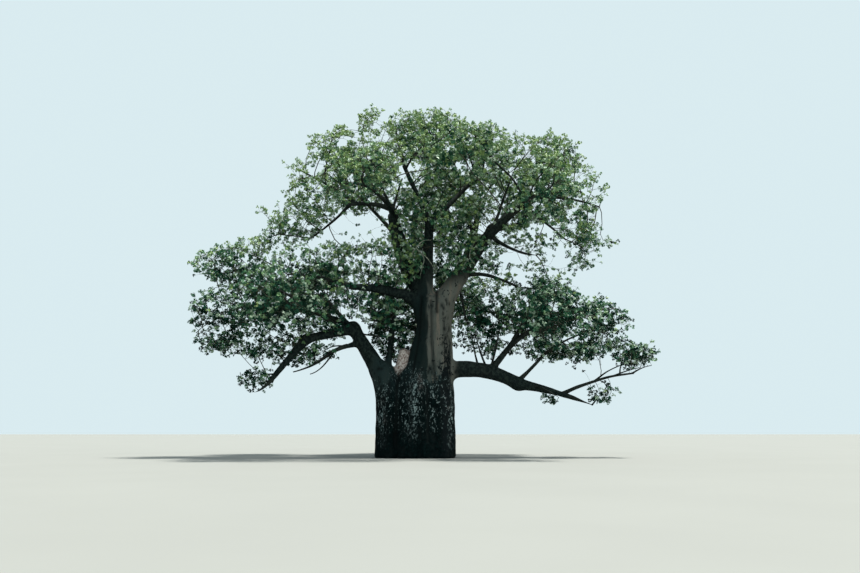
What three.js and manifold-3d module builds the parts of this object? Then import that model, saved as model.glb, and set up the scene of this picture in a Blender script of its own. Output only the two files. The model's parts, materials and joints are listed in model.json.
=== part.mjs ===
// A rooted baobab: a short, very thick fluted trunk that splits low down into a
// leaning side stem and an upright main column, heavy tapering boughs, and a wide
// crown made of separate uneven masses of foliage.
//
// Frame: millimetres, +Z up, the origin on the flat cut at ground level, +X to the
// right of the broad face, -Y towards the viewer.

import * as THREE from 'three';
import { mergeVertices } from 'three/addons/utils/BufferGeometryUtils.js';
import Module from 'manifold-3d';

const wasm = await Module();
wasm.setup();

// ---------------------------------------------------------------- driving sizes

const BARK_GAP = 3;            // clearance where one limb meets another
const SOCKET_GAP = 12;         // clearance of a limb inside its foliage mass
const LEAF_GAP = 20;           // clearance between neighbouring foliage masses
const SOCKET_DEPTH = 420;      // how far a limb runs on after it enters its last mass
const LIMB_SIDES = { thick: 8, thin: 6 };
const THICK_LIMB = 400;        // radius from which a limb is thick
const LIMB_STEP = 2150;        // length of one straight facet along a limb
const COLUMN_SIDES = { main: 15, left: 12, other: 10 };
const MASS_DETAIL = { large: 2, small: 1 };
const LARGE_MASS = 2500;       // mean half size from which a mass is large

// The trunk is fused from upright columns. Each station: height, centre x, centre y,
// half width, half depth.
const TRUNK_COLUMNS = {
  main: [
    [0, 560, 0, 1890, 2120],
    [1400, 600, 0, 1830, 2020],
    [3600, 560, 0, 1800, 1900],
    [4900, 560, 0, 1700, 1780],
    [5700, 860, 0, 1400, 1560],
    [6500, 930, 0, 1300, 1420],
    [8250, 1130, 0, 1090, 1200],
    [9200, 1080, 0, 1220, 1200],
    [9700, 1020, 0, 1080, 960],
    [10150, 960, 0, 460, 420],
  ],
  left: [
    [0, -1390, -180, 1110, 1560],
    [1500, -1380, -180, 1080, 1450],
    [3400, -1400, -160, 1060, 1300],
    [4500, -1700, -160, 930, 1080],
    [5250, -1960, -200, 760, 860],
    [5800, -2090, -240, 400, 460],
  ],
  front_right: [
    [0, 1400, -1080, 960, 1060],
    [2600, 1380, -1000, 900, 960],
    [4700, 1280, -860, 760, 800],
    [6600, 1300, -520, 480, 560],
  ],
  front_left: [
    [0, -330, -1180, 900, 1020],
    [2200, -300, -1080, 860, 920],
    [4300, -120, -860, 700, 760],
    [6000, 300, -480, 420, 560],
  ],
  back_right: [
    [0, 1300, 1120, 980, 1080],
    [2600, 1260, 1020, 900, 940],
    [5000, 1240, 780, 720, 740],
    [7000, 1280, 420, 480, 560],
  ],
  back_left: [
    [0, -420, 1180, 1000, 1000],
    [2200, -380, 1080, 920, 900],
    [4400, -160, 820, 740, 760],
    [6200, 420, 460, 460, 560],
  ],
};
const FLUTE_DEPTH = 0.035;     // of the radius
const FLUTES = 7;

// Lines that limbs on the trunk start from.
const TRUNK_AXES = {
  trunk: { start: [820, 0, 0], heading: 0, reach: 250, rise: 10400 },
  trunk_left: { start: [-1350, -150, 0], heading: 180, reach: 560, rise: 5400 },
  trunk_right: { start: [1250, 0, 8400], heading: 0, reach: 250, rise: 2000 },
  trunk_mid: { start: [550, 0, 8400], heading: 180, reach: 100, rise: 2000 },
};

// Limbs: what each grows on, how far along it, compass heading, horizontal reach,
// rise, upward arch, sideways sway, radius at the start and at the tip.
const LIMBS = [
  ['left_stem', 'trunk_left', 0.86, -171, 2120, 3330, -90, -50, 620, 360],
  ['second_stem', 'trunk_left', 0.88, 67, 1030, 4350, -30, -30, 270, 140],
  ['left_bough_inner', 'left_stem', 0.97, -166, 2960, -740, 40, 10, 310, 260],
  ['left_bough_outer', 'left_bough_inner', 1.0, -168, 1970, -2440, 50, 20, 260, 150],
  ['left_high_branch', 'left_stem', 0.98, 170, 4340, 1520, 200, 60, 190, 110],
  ['right_bough_lower', 'trunk_right', 0.3, -6, 3580, 5270, 180, 10, 760, 280],
  ['fork_left', 'trunk_mid', 0.45, -39, 470, 5460, 10, -50, 600, 240],
  ['fork_back_left', 'trunk_mid', 0.3, 170, 2220, 6940, -20, -50, 460, 230],
  ['trunk_left_bough', 'trunk', 0.89, -159, 5290, 1010, 390, -160, 500, 180],
  ['upper_left_bough', 'fork_back_left', 0.98, -176, 2700, 250, 200, -20, 170, 110],
  ['upper_left_tip', 'upper_left_bough', 1.0, 180, 2470, -2220, -140, 0, 110, 50],
  ['crown_bough_left', 'fork_left', 0.97, 155, 1870, 4140, 90, -20, 220, 120],
  ['crown_bough_right', 'fork_left', 0.93, 20, 3700, 3900, 220, 60, 200, 100],
  ['right_bough_upper', 'right_bough_lower', 0.99, 1, 2770, 2320, 0, -60, 310, 150],
  ['right_mid_branch', 'right_bough_lower', 0.93, -19, 2990, -1560, -320, -140, 140, 60],
  ['right_fork_branch', 'right_bough_lower', 0.4, -7, 3600, -790, 370, -20, 150, 70],
  ['lower_right_bough', 'trunk', 0.475, -6, 5430, -530, 690, 60, 600, 370],
  ['lower_right_end', 'lower_right_bough', 0.985, -8, 4460, -1310, 130, -50, 310, 80],
  ['lower_right_reach', 'lower_right_end', 0.6, 6, 4580, 1320, 220, -70, 120, 50],
  ['lower_right_rise', 'lower_right_bough', 0.97, 7, 1920, 1870, 10, -70, 140, 80],
  ['lower_right_riser', 'lower_right_bough', 0.66, 26, 1870, 2060, -80, 0, 230, 150],
  ['back_left_bough', 'trunk', 0.88, 120, 5900, 7400, -500, 500, 440, 200],
  ['back_right_bough', 'trunk', 0.9, 58, 6000, 7200, -500, -500, 440, 200],
  ['back_low_bough', 'trunk', 0.6, 97, 6600, 2900, 700, 500, 460, 220],
  ['front_left_bough', 'fork_back_left', 0.9, 247, 4300, 1000, 200, 200, 180, 100],
  ['front_right_bough', 'right_bough_lower', 0.85, 305, 4900, 1700, 100, -200, 220, 110],
];

// Foliage masses: centre, half sizes, seed of the unevenness.
const MASSES = [
  ['crown_top', [300, 0, 20550], [3300, 3200, 2400], 11],
  ['crown_top_right', [4000, -300, 18950], [2900, 3100, 2150], 12],
  ['crown_top_left', [-4250, 0, 18800], [2750, 3100, 2400], 13],
  ['crown_right', [8600, 300, 18450], [2800, 3100, 2400], 14],
  ['crown_far_right', [10200, 0, 15050], [1800, 3000, 3100], 15],
  ['crown_left', [-7150, 300, 17050], [1800, 3000, 2200], 16],
  ['crown_left_shelf', [-8100, 0, 14550], [2200, 2800, 1300], 17],
  ['crown_front', [2400, -5200, 17600], [3200, 3000, 1900], 18],
  ['crown_front_left', [-3100, -5000, 16450], [2600, 2900, 2000], 19],
  ['crown_front_right', [7700, -4800, 15700], [2500, 3100, 2800], 20],
  ['crown_back', [1600, 5600, 18250], [3600, 3400, 4600], 21],
  ['crown_back_left', [-4300, 5600, 18900], [3300, 3300, 3000], 22],
  ['crown_back_right', [7600, 5600, 18000], [3400, 3300, 3700], 23],
  ['crown_inner_right', [8300, -600, 13850], [2200, 2000, 750], 24],
  ['crown_inner', [2550, 2600, 14500], [2000, 1700, 2100], 25],
  ['crown_inner_left', [-2200, -1800, 11850], [1600, 2000, 1700], 26],
  ['left_high', [-6550, -1500, 11600], [3200, 2900, 1450], 27],
  ['left_outer_high', [-11650, 0, 11800], [2600, 3300, 1950], 28],
  ['left_outer_low', [-12250, 0, 8550], [2300, 3100, 2000], 29],
  ['left_mid', [-8550, -1900, 8650], [2600, 2900, 1950], 30],
  ['left_near', [-4450, -1900, 9450], [2050, 2100, 1750], 31],
  ['left_front', [-7800, -5700, 9100], [3000, 2400, 2000], 32],
  ['left_back', [-7550, 4600, 11300], [3600, 3400, 2600], 33],
  ['left_back_inner', [-2300, 4600, 10200], [2200, 2800, 2800], 34],
  ['left_hanging', [-6750, -800, 6250], [2500, 2000, 950], 35],
  ['right_near', [4550, 1200, 9050], [1950, 2400, 2500], 36],
  ['right_mid', [8000, 0, 9400], [2600, 3200, 2350], 37],
  ['right_outer', [11250, 0, 8350], [2300, 3000, 1650], 38],
  ['right_tip', [13400, -500, 6250], [1550, 2200, 1100], 39],
  ['right_under', [9600, -1000, 6450], [2300, 2400, 1000], 40],
  ['right_front', [7900, -5400, 8100], [2900, 2500, 1900], 41],
  ['right_back', [7900, 5400, 9700], [3500, 3100, 2700], 42],
  ['back_low', [1600, 8200, 11100], [3700, 3100, 2800], 43],
];
const LUMPS = 14;              // swellings on each foliage mass
const LUMP_HEIGHT = 0.34;      // of the half size
const UNDERSIDE = 0.8;         // how far the underside bellies, against the top

// ------------------------------------------------------------------- materials

const BARK_UPPER = 0x7d7068;
const BARK_LOWER = 0x8b8580;
const BARK_BOUGH = 0x4b443f;
const LEAF_GREENS = [0x66762f, 0x54682b, 0x475c2b, 0x71803a];

function bark(color) {
  return new THREE.MeshStandardMaterial({ color, roughness: 0.88, metalness: 0 });
}

function foliage(index) {
  const color = LEAF_GREENS[index % LEAF_GREENS.length];
  return new THREE.MeshStandardMaterial({ color, roughness: 0.6, metalness: 0 });
}

// --------------------------------------------------------------- shared helpers

function seededRandom(seed) {
  let state = (seed * 2654435761) >>> 0;
  return () => {
    state = (state + 0x6d2b79f5) >>> 0;
    let t = state;
    t = Math.imul(t ^ (t >>> 15), t | 1);
    t ^= t + Math.imul(t ^ (t >>> 7), t | 61);
    return ((t ^ (t >>> 14)) >>> 0) / 4294967296;
  };
}

function toSolid(geometry) {
  geometry.deleteAttribute('normal');
  geometry.deleteAttribute('uv');
  const merged = mergeVertices(geometry, 0.01);
  return new wasm.Manifold(new wasm.Mesh({
    numProp: 3,
    vertProperties: new Float32Array(merged.attributes.position.array),
    triVerts: new Uint32Array(merged.index.array),
  }));
}

function toGeometry(solid) {
  const mesh = solid.getMesh();
  const geometry = new THREE.BufferGeometry();
  geometry.setAttribute('position', new THREE.BufferAttribute(mesh.vertProperties, 3));
  geometry.setIndex(new THREE.BufferAttribute(mesh.triVerts, 1));
  geometry.computeVertexNormals();
  return geometry;
}

function largestPiece(solid) {
  const pieces = solid.decompose();
  return pieces.reduce((best, piece) => (piece.volume() > best.volume() ? piece : best));
}

function boxesTouch(a, b) {
  const p = a.boundingBox();
  const q = b.boundingBox();
  return [0, 1, 2].every((k) => p.min[k] < q.max[k] && q.min[k] < p.max[k]);
}

// ----------------------------------------------------------------------- trunk

// Smooth value of station column k at a height.
function stationAt(stations, height, k) {
  const n = stations.length;
  let i = 0;
  while (i < n - 2 && height > stations[i + 1][0]) i += 1;
  const [a, b] = [stations[i], stations[i + 1]];
  const t = (height - a[0]) / (b[0] - a[0]);
  const before = stations[Math.max(i - 1, 0)][k];
  const after = stations[Math.min(i + 2, n - 1)][k];
  const m0 = (b[k] - before) / 2;
  const m1 = (after - a[k]) / 2;
  return THREE.MathUtils.lerp(a[k], b[k], t)
    + (t * (1 - t)) * ((1 - t) * (m0 - (b[k] - a[k])) - t * (m1 - (b[k] - a[k])));
}

function columnSolid(column, stations, phase, extra) {
  const sides = COLUMN_SIDES[column] ?? COLUMN_SIDES.other;
  const rings = Math.round(1.3 * (stations.length - 1));
  const top = stations[stations.length - 1][0];
  const geometry = new THREE.CylinderGeometry(1, 1, 1, sides, rings);
  geometry.rotateX(Math.PI / 2);
  const p = geometry.attributes.position;
  for (let i = 0; i < p.count; i += 1) {
    const share = p.getZ(i) + 0.5;
    const last = stations.length - 1;
    const at = Math.min(share * last, last - 1e-6);
    const low = stations[Math.floor(at)][0];
    const high = stations[Math.floor(at) + 1][0];
    const height = low + (high - low) * (at - Math.floor(at));
    const angle = Math.atan2(p.getY(i), p.getX(i));
    const isCentre = Math.hypot(p.getX(i), p.getY(i)) < 0.5;
    const flute = 1 + FLUTE_DEPTH * Math.sin(FLUTES * angle + phase + height / 4000);
    const wide = isCentre ? 0 : stationAt(stations, height, 3) * flute + extra;
    const deep = isCentre ? 0 : stationAt(stations, height, 4) * flute + extra;
    p.setXYZ(
      i,
      stationAt(stations, height, 1) + Math.cos(angle) * wide,
      stationAt(stations, height, 2) + Math.sin(angle) * deep,
      share > 0.999 ? top + extra : height,
    );
  }
  return toSolid(geometry);
}

function trunkSolid(extra) {
  return Object.entries(TRUNK_COLUMNS)
    .map(([column, stations], i) => columnSolid(column, stations, i * 1.7, extra))
    .reduce((whole, column) => whole.add(column));
}

// ----------------------------------------------------------------------- limbs

class LimbCurve extends THREE.Curve {
  constructor(start, heading, reach, rise, arch = 0, sway = 0) {
    super();
    const angle = THREE.MathUtils.degToRad(heading);
    this.start = start;
    this.along = new THREE.Vector3(Math.cos(angle) * reach, Math.sin(angle) * reach, rise);
    this.bow = new THREE.Vector3(-Math.sin(angle) * sway, Math.cos(angle) * sway, arch);
  }

  getPoint(t, target = new THREE.Vector3()) {
    return target.copy(this.start)
      .addScaledVector(this.along, t)
      .addScaledVector(this.bow, 4 * t * (1 - t));
  }
}

const curves = new Map();
for (const [name, axis] of Object.entries(TRUNK_AXES)) {
  const start = new THREE.Vector3(...axis.start);
  curves.set(name, new LimbCurve(start, axis.heading, axis.reach, axis.rise));
}

const limbs = LIMBS.map(([name, on, at, heading, reach, rise, arch, sway, from, to]) => {
  const start = curves.get(on).getPoint(at);
  const curve = new LimbCurve(start, heading, reach, rise, arch, sway);
  curves.set(name, curve);
  return { name, on, at, curve, from, to, end: 1 };
});

// A cylinder bent along the limb's curve and tapered with it.
function limbSolid(limb, extra) {
  const length = limb.curve.getLength() * limb.end;
  const rings = Math.max(2, Math.round(length / LIMB_STEP));
  const sides = limb.from >= THICK_LIMB ? LIMB_SIDES.thick : LIMB_SIDES.thin;
  const geometry = new THREE.CylinderGeometry(1, 1, 1, sides, rings);
  geometry.rotateX(Math.PI / 2);
  const p = geometry.attributes.position;
  const point = new THREE.Vector3();
  const tangent = new THREE.Vector3();
  const side = new THREE.Vector3();
  const over = new THREE.Vector3();
  const aside = new THREE.Vector3(-limb.curve.along.y, limb.curve.along.x, 0).normalize();
  for (let i = 0; i < p.count; i += 1) {
    const share = p.getZ(i) + 0.5;
    const t = share * limb.end;
    limb.curve.getPoint(t, point);
    tangent.copy(limb.curve.along).addScaledVector(limb.curve.bow, 4 * (1 - 2 * t)).normalize();
    over.crossVectors(tangent, aside).normalize();
    side.crossVectors(over, tangent).normalize();
    const radius = THREE.MathUtils.lerp(limb.from, limb.to, t ** 0.85) + extra;
    const run = extra * (share > 0.999 ? 1 : share < 0.001 ? -1 : 0);
    point.addScaledVector(side, p.getX(i) * radius)
      .addScaledVector(over, p.getY(i) * radius)
      .addScaledVector(tangent, run);
    p.setXYZ(i, point.x, point.y, point.z);
  }
  return toSolid(geometry);
}

// --------------------------------------------------------------- foliage masses

function massShape([name, centre, size, seed], index) {
  const random = seededRandom(seed);
  const lumps = Array.from({ length: LUMPS }, () => {
    const z = 2 * random() - 1;
    const angle = 2 * Math.PI * random();
    const flat = Math.sqrt(1 - z * z);
    return {
      axis: new THREE.Vector3(flat * Math.cos(angle), flat * Math.sin(angle), z),
      height: LUMP_HEIGHT * (0.35 + 0.65 * random()),
      width: 5 + 8 * random(),
    };
  });
  // Distance of the surface along a direction, as a share of the half sizes.
  const surface = (direction) => {
    let value = 0.8;
    for (const lump of lumps) {
      value += lump.height * Math.exp(-lump.width * (1 - direction.dot(lump.axis)));
    }
    return value * (direction.z < 0 ? 1 - (1 - UNDERSIDE) * -direction.z : 1);
  };
  const middle = new THREE.Vector3(...centre);
  const half = new THREE.Vector3(...size);
  // The half sizes are met in full by the furthest lump each way, on average.
  const large = (size[0] + size[1] + size[2]) / 3 >= LARGE_MASS;
  const detail = large ? MASS_DETAIL.large : MASS_DETAIL.small;
  const sphere = new THREE.IcosahedronGeometry(1, detail).attributes.position;
  const span = new THREE.Box3();
  const corner = new THREE.Vector3();
  for (let i = 0; i < sphere.count; i += 1) {
    corner.fromBufferAttribute(sphere, i).normalize();
    span.expandByPoint(corner.multiplyScalar(surface(corner.clone())));
  }
  const centring = span.getCenter(new THREE.Vector3()).multiply(half);
  const fill = span.getSize(new THREE.Vector3()).multiplyScalar(0.5);
  middle.sub(centring.clone().divide(fill));
  half.divide(fill);
  const holds = (point) => {
    const q = point.clone().sub(middle).divide(half);
    const distance = q.length();
    return distance < 1e-6 || distance < surface(q.divideScalar(distance));
  };
  const solid = (extra) => {
    const geometry = new THREE.IcosahedronGeometry(1, detail);
    const p = geometry.attributes.position;
    const direction = new THREE.Vector3();
    for (let i = 0; i < p.count; i += 1) {
      direction.fromBufferAttribute(p, i).normalize();
      const reach = surface(direction);
      p.setXYZ(
        i,
        middle.x + direction.x * (reach * half.x + extra),
        middle.y + direction.y * (reach * half.y + extra),
        middle.z + direction.z * (reach * half.z + extra),
      );
    }
    return toSolid(geometry);
  };
  return { name, index, holds, solid };
}

const masses = MASSES.map(massShape);

// A limb stops a little way inside the last mass that it enters, but not before
// the last limb that grows on it.
for (const limb of limbs) {
  const steps = 200;
  const length = limb.curve.getLength();
  let lastOutside = 0;
  for (let i = 0; i <= steps; i += 1) {
    const point = limb.curve.getPoint(i / steps);
    if (!masses.some((mass) => mass.holds(point))) lastOutside = i / steps;
  }
  const carried = limbs.filter((other) => other.on === limb.name)
    .map((other) => other.at + 150 / length);
  limb.end = Math.min(1, Math.max(lastOutside + SOCKET_DEPTH / length, ...carried));
}

// --------------------------------------------------------------------- assembly

const tree = new THREE.Group();

function place(name, solid, material) {
  const mesh = new THREE.Mesh(toGeometry(solid), material);
  mesh.name = name;
  tree.add(mesh);
}

const trunk = trunkSolid(0);
place('trunk', trunk, bark(BARK_LOWER));

const barkBodies = [{ solid: trunk, wide: trunkSolid(BARK_GAP), roomy: trunkSolid(SOCKET_GAP) }];
for (const limb of limbs) {
  let solid = limbSolid(limb, 0);
  for (const body of barkBodies) {
    if (boxesTouch(solid, body.wide)) solid = solid.subtract(body.wide);
  }
  solid = largestPiece(solid);
  barkBodies.push({ solid, wide: limbSolid(limb, BARK_GAP), roomy: limbSolid(limb, SOCKET_GAP) });
  const upper = limb.from >= 500;
  place(limb.name, solid, bark(upper ? BARK_UPPER : BARK_BOUGH));
}

const leafBodies = [];
for (const mass of masses) {
  let solid = mass.solid(0);
  for (const earlier of leafBodies) {
    if (boxesTouch(solid, earlier)) solid = solid.subtract(earlier);
  }
  for (const body of barkBodies) {
    if (boxesTouch(solid, body.roomy)) solid = solid.subtract(body.roomy);
  }
  solid = largestPiece(solid);
  leafBodies.push(mass.solid(LEAF_GAP));
  place(mass.name, solid, foliage(mass.index));
}

export default tree;
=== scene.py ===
"""A rooted baobab in full leaf. The trunk and thick boughs are one skin around a field of
rounded columns and limbs, with the bark's folds and scars in the mesh. Branches and twigs
grow on from the limbs into each mass of foliage by a seeded rule, and carry rosettes of
palmate leaves."""

import json
import math

import bpy
import numpy as np
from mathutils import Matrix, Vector
from mathutils.bvhtree import BVHTree

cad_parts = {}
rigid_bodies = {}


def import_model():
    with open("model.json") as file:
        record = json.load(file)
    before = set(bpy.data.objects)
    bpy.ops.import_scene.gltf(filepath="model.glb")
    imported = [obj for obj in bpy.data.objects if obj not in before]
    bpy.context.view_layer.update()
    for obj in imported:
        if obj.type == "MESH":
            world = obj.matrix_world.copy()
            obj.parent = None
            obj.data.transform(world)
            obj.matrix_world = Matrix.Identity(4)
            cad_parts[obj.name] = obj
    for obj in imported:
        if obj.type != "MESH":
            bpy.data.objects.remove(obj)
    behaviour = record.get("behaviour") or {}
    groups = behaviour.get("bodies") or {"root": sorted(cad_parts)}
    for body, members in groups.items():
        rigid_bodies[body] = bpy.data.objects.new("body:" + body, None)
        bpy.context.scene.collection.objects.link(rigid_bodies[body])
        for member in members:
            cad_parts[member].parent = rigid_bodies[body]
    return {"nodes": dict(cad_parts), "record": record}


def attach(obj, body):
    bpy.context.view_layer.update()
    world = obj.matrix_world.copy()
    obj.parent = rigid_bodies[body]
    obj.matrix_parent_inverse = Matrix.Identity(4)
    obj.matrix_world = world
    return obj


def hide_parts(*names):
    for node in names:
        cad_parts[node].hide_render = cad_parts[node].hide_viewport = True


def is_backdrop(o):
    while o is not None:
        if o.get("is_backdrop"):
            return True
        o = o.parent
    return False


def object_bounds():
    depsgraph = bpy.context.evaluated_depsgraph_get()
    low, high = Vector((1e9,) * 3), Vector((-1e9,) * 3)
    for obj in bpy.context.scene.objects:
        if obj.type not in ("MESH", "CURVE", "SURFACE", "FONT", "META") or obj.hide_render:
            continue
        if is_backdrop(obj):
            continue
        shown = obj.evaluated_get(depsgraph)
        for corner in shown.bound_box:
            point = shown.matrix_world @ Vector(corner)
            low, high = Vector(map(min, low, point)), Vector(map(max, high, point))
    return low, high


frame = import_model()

CAD_LOW, CAD_HIGH = (np.array(corner, float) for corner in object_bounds())

# ------------------------------------------------------------------------ camera

EYE = np.array([0.87, -52.25, 1.6])
TILT = 9.8
FOCAL_PX, WIDTH, HEIGHT = 836.0, 860, 573

camera_data = bpy.data.cameras.new("camera")
camera_data.lens = FOCAL_PX / WIDTH * 36.0
camera_data.sensor_width = 36.0
camera_data.clip_end = 400.0
camera = bpy.data.objects.new("camera", camera_data)
camera.location = EYE
camera.rotation_euler = (math.radians(90 + TILT), 0, 0)
bpy.context.scene.collection.objects.link(camera)
bpy.context.scene.camera = camera


def to_pixels(points):
    """Where points of the tree fall in the front view, in pixels of 860 x 573."""
    d = np.atleast_2d(points) - EYE
    tilt = math.radians(TILT)
    ahead = math.cos(tilt) * d[:, 1] + math.sin(tilt) * d[:, 2]
    up = -math.sin(tilt) * d[:, 1] + math.cos(tilt) * d[:, 2]
    x = WIDTH / 2 + FOCAL_PX * d[:, 0] / ahead
    return np.stack([x, HEIGHT / 2 - FOCAL_PX * up / ahead], 1)


# ----------------------------------------------------------------- sizes of the limbs

# Lines that limbs on the trunk start from: start, heading, reach, rise, in millimetres.
TRUNK_AXES = {
    "trunk": ((820, 0, 0), 0, 250, 10400),
    "trunk_left": ((-1350, -150, 0), 180, 560, 5400),
    "trunk_right": ((1250, 0, 8400), 0, 250, 2000),
    "trunk_mid": ((550, 0, 8400), 180, 100, 2000),
    "trunk_cleft": ((-880, -120, 4200), 0, 0, 600),
}

# Name, what it grows on, how far along it, compass heading, reach, rise, upward arch,
# sideways sway, radius at the start and at the tip, in millimetres.
LIMBS = [
    ("left_stem", "trunk_left", 0.86, -171, 2120, 3330, -90, -50, 620, 360),
    ("second_stem", "trunk_left", 0.88, 67, 1030, 4350, -30, -30, 270, 140),
    ("left_bough_inner", "left_stem", 0.97, -166, 2960, -740, 40, 10, 310, 260),
    ("left_bough_outer", "left_bough_inner", 1.0, -168, 1970, -2440, 50, 20, 260, 150),
    ("left_high_branch", "left_stem", 0.98, 170, 4340, 1520, 200, 60, 190, 110),
    ("right_bough_lower", "trunk_right", 0.3, -6, 3580, 5270, 180, 10, 760, 280),
    ("fork_left", "trunk_mid", 0.45, -39, 470, 5460, 10, -50, 600, 240),
    ("fork_back_left", "trunk_mid", 0.3, 170, 2220, 6940, -20, -50, 460, 230),
    ("trunk_left_bough", "trunk", 0.89, -159, 5290, 1010, 390, -160, 500, 180),
    ("upper_left_bough", "fork_back_left", 0.98, -176, 2700, 250, 200, -20, 170, 110),
    ("upper_left_tip", "upper_left_bough", 1.0, 180, 2470, -2220, -140, 0, 110, 50),
    ("crown_bough_left", "fork_left", 0.97, 155, 1870, 4140, 90, -20, 220, 120),
    ("crown_bough_right", "fork_left", 0.93, 20, 3700, 3900, 220, 60, 200, 100),
    ("right_bough_upper", "right_bough_lower", 0.99, 1, 2770, 2320, 0, -60, 310, 150),
    ("right_mid_branch", "right_bough_lower", 0.93, -19, 2990, -1560, -320, -140, 140, 60),
    ("right_fork_branch", "right_bough_lower", 0.4, -7, 3600, -790, 370, -20, 150, 70),
    ("lower_right_bough", "trunk", 0.475, -6, 5430, -530, 690, 60, 600, 370),
    ("lower_right_end", "lower_right_bough", 0.985, -8, 4460, -1310, 130, -50, 310, 80),
    ("lower_right_reach", "lower_right_end", 0.6, 6, 4580, 1320, 220, -70, 120, 50),
    ("lower_right_rise", "lower_right_bough", 0.97, 7, 1920, 1870, 10, -70, 140, 80),
    ("lower_right_riser", "lower_right_bough", 0.66, 26, 1870, 2060, -80, 0, 230, 150),
    ("back_left_bough", "trunk", 0.88, 120, 5900, 7400, -500, 500, 440, 200),
    ("back_right_bough", "trunk", 0.9, 58, 6000, 7200, -500, -500, 440, 200),
    ("back_low_bough", "trunk", 0.6, 97, 6600, 2900, 700, 500, 460, 220),
    ("front_left_bough", "fork_back_left", 0.9, 247, 4300, 1000, 200, 200, 180, 100),
    ("front_right_bough", "right_bough_lower", 0.85, 305, 4900, 1700, 100, -200, 220, 110),
]

# Branches too thin for a solid of their own, and those that run on inside a mass.
BRANCHES = [
    ("cleft_stub", "trunk_cleft", 1.0, 10, 110, 1550, 0, 60, 600, 330),
    ("left_low_branch", "left_stem", 0.72, -159, 2110, -730, 130, -10, 190, 110),
    ("left_low_outer", "left_low_branch", 1.0, -169, 2140, -1130, -170, 0, 110, 35),
    ("left_low_twig", "left_low_branch", 0.85, -163, 1440, -1420, -260, 10, 60, 25),
    ("left_lower_fork", "left_bough_inner", 0.36, -160, 2600, -900, 160, 60, 90, 35),
    ("left_far_branch", "left_high_branch", 0.97, 178, 3900, -300, 260, -120, 110, 40),
    ("left_rising_branch", "left_high_branch", 0.55, 150, 3600, 2300, 200, 150, 110, 45),
    ("left_front_branch", "left_bough_inner", 0.25, 225, 5200, 2100, 300, -200, 150, 60),
    ("left_back_branch", "left_stem", 0.86, 122, 5600, 3300, 300, 250, 190, 80),
    ("left_cross_branch", "left_stem", 0.9, 8, 2300, -150, -80, 30, 60, 30),
    ("trunk_left_outer", "trunk_left_bough", 0.98, 172, 4200, 900, 150, 120, 150, 55),
    ("upper_left_knob", "fork_back_left", 0.97, 168, 1100, 2300, 60, 0, 120, 50),
    ("upper_left_spur", "fork_back_left", 0.95, 5, 1500, -500, 60, 0, 90, 35),
    ("upper_right_spur", "fork_back_left", 0.96, 60, 1200, 2500, 100, 0, 110, 45),
    ("right_high_branch", "right_bough_upper", 0.7, -18, 2720, -2480, 30, -20, 130, 50),
    ("right_top_branch", "right_bough_upper", 0.98, 4, 3000, 300, 160, 60, 140, 60),
    ("right_climbing_branch", "right_bough_lower", 0.97, 20, 1300, 3300, -150, 80, 140, 60),
    ("right_inner_branch", "right_bough_lower", 0.85, 40, 2200, 2500, -100, 0, 130, 55),
    ("right_hanging_fork", "right_bough_lower", 0.32, 40, 900, -2300, 500, 0, 140, 60),
    ("lower_right_drop", "lower_right_end", 0.14, -30, 2000, -750, 150, -60, 120, 35),
    ("lower_right_twin", "lower_right_bough", 0.65, 140, 900, 2300, 100, 150, 75, 30),
    ("lower_right_thin", "lower_right_bough", 0.67, 20, 750, 2900, 0, -110, 85, 35),
    ("lower_right_stub", "lower_right_bough", 0.55, 150, 550, 2500, 0, 90, 75, 30),
    ("lower_right_reach_fork", "lower_right_reach", 0.45, 28, 2300, 1100, 100, 60, 60, 25),
    ("lower_right_reach_side", "lower_right_reach", 0.7, -20, 1700, 500, 60, 0, 50, 20),
    ("left_bough_end", "left_bough_outer", 1.0, -170, 1000, -800, -120, 40, 125, 20),
    ("left_bough_shoot", "left_bough_outer", 0.9, 160, 1100, -150, 100, 60, 60, 20),
    ("right_outer_branch", "lower_right_rise", 1.0, 2, 3700, 1500, 300, 100, 80, 30),
    ("right_outer_high", "lower_right_riser", 0.95, -4, 5400, 1900, 500, -150, 110, 35),
    ("reach_end_branch", "lower_right_reach", 0.98, 12, 1300, 500, 80, 0, 50, 20),
    ("reach_up_branch", "lower_right_reach", 0.8, 60, 1400, 1500, 0, 100, 50, 20),
    ("left_low_shoot", "left_low_branch", 0.5, 150, 1700, -200, 150, 60, 60, 20),
    ("lower_right_riser_far", "lower_right_riser", 1.0, 20, 1700, 2400, 100, 60, 140, 60),
    ("lower_right_front", "lower_right_riser", 0.6, -66, 4700, 1000, 500, 250, 130, 55),
    ("right_back_branch", "back_low_bough", 0.45, 25, 5200, 1500, 300, -250, 190, 80),
    ("left_back_inner_branch", "back_low_bough", 0.4, 150, 3600, 900, 300, 200, 170, 70),
    ("back_top_branch", "back_right_bough", 0.8, 95, 3000, 3000, -100, 0, 170, 70),
    ("back_far_left_branch", "back_left_bough", 0.85, 150, 3600, 3500, 100, 0, 150, 60),
    ("back_far_right_branch", "back_right_bough", 0.75, 20, 4400, 1900, 100, 0, 170, 70),
    ("far_right_branch", "right_bough_upper", 0.9, -6, 4300, -700, 300, 100, 130, 50),
    ("far_left_branch", "upper_left_bough", 0.85, 172, 3600, 2300, 100, 0, 110, 45),
]

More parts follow.
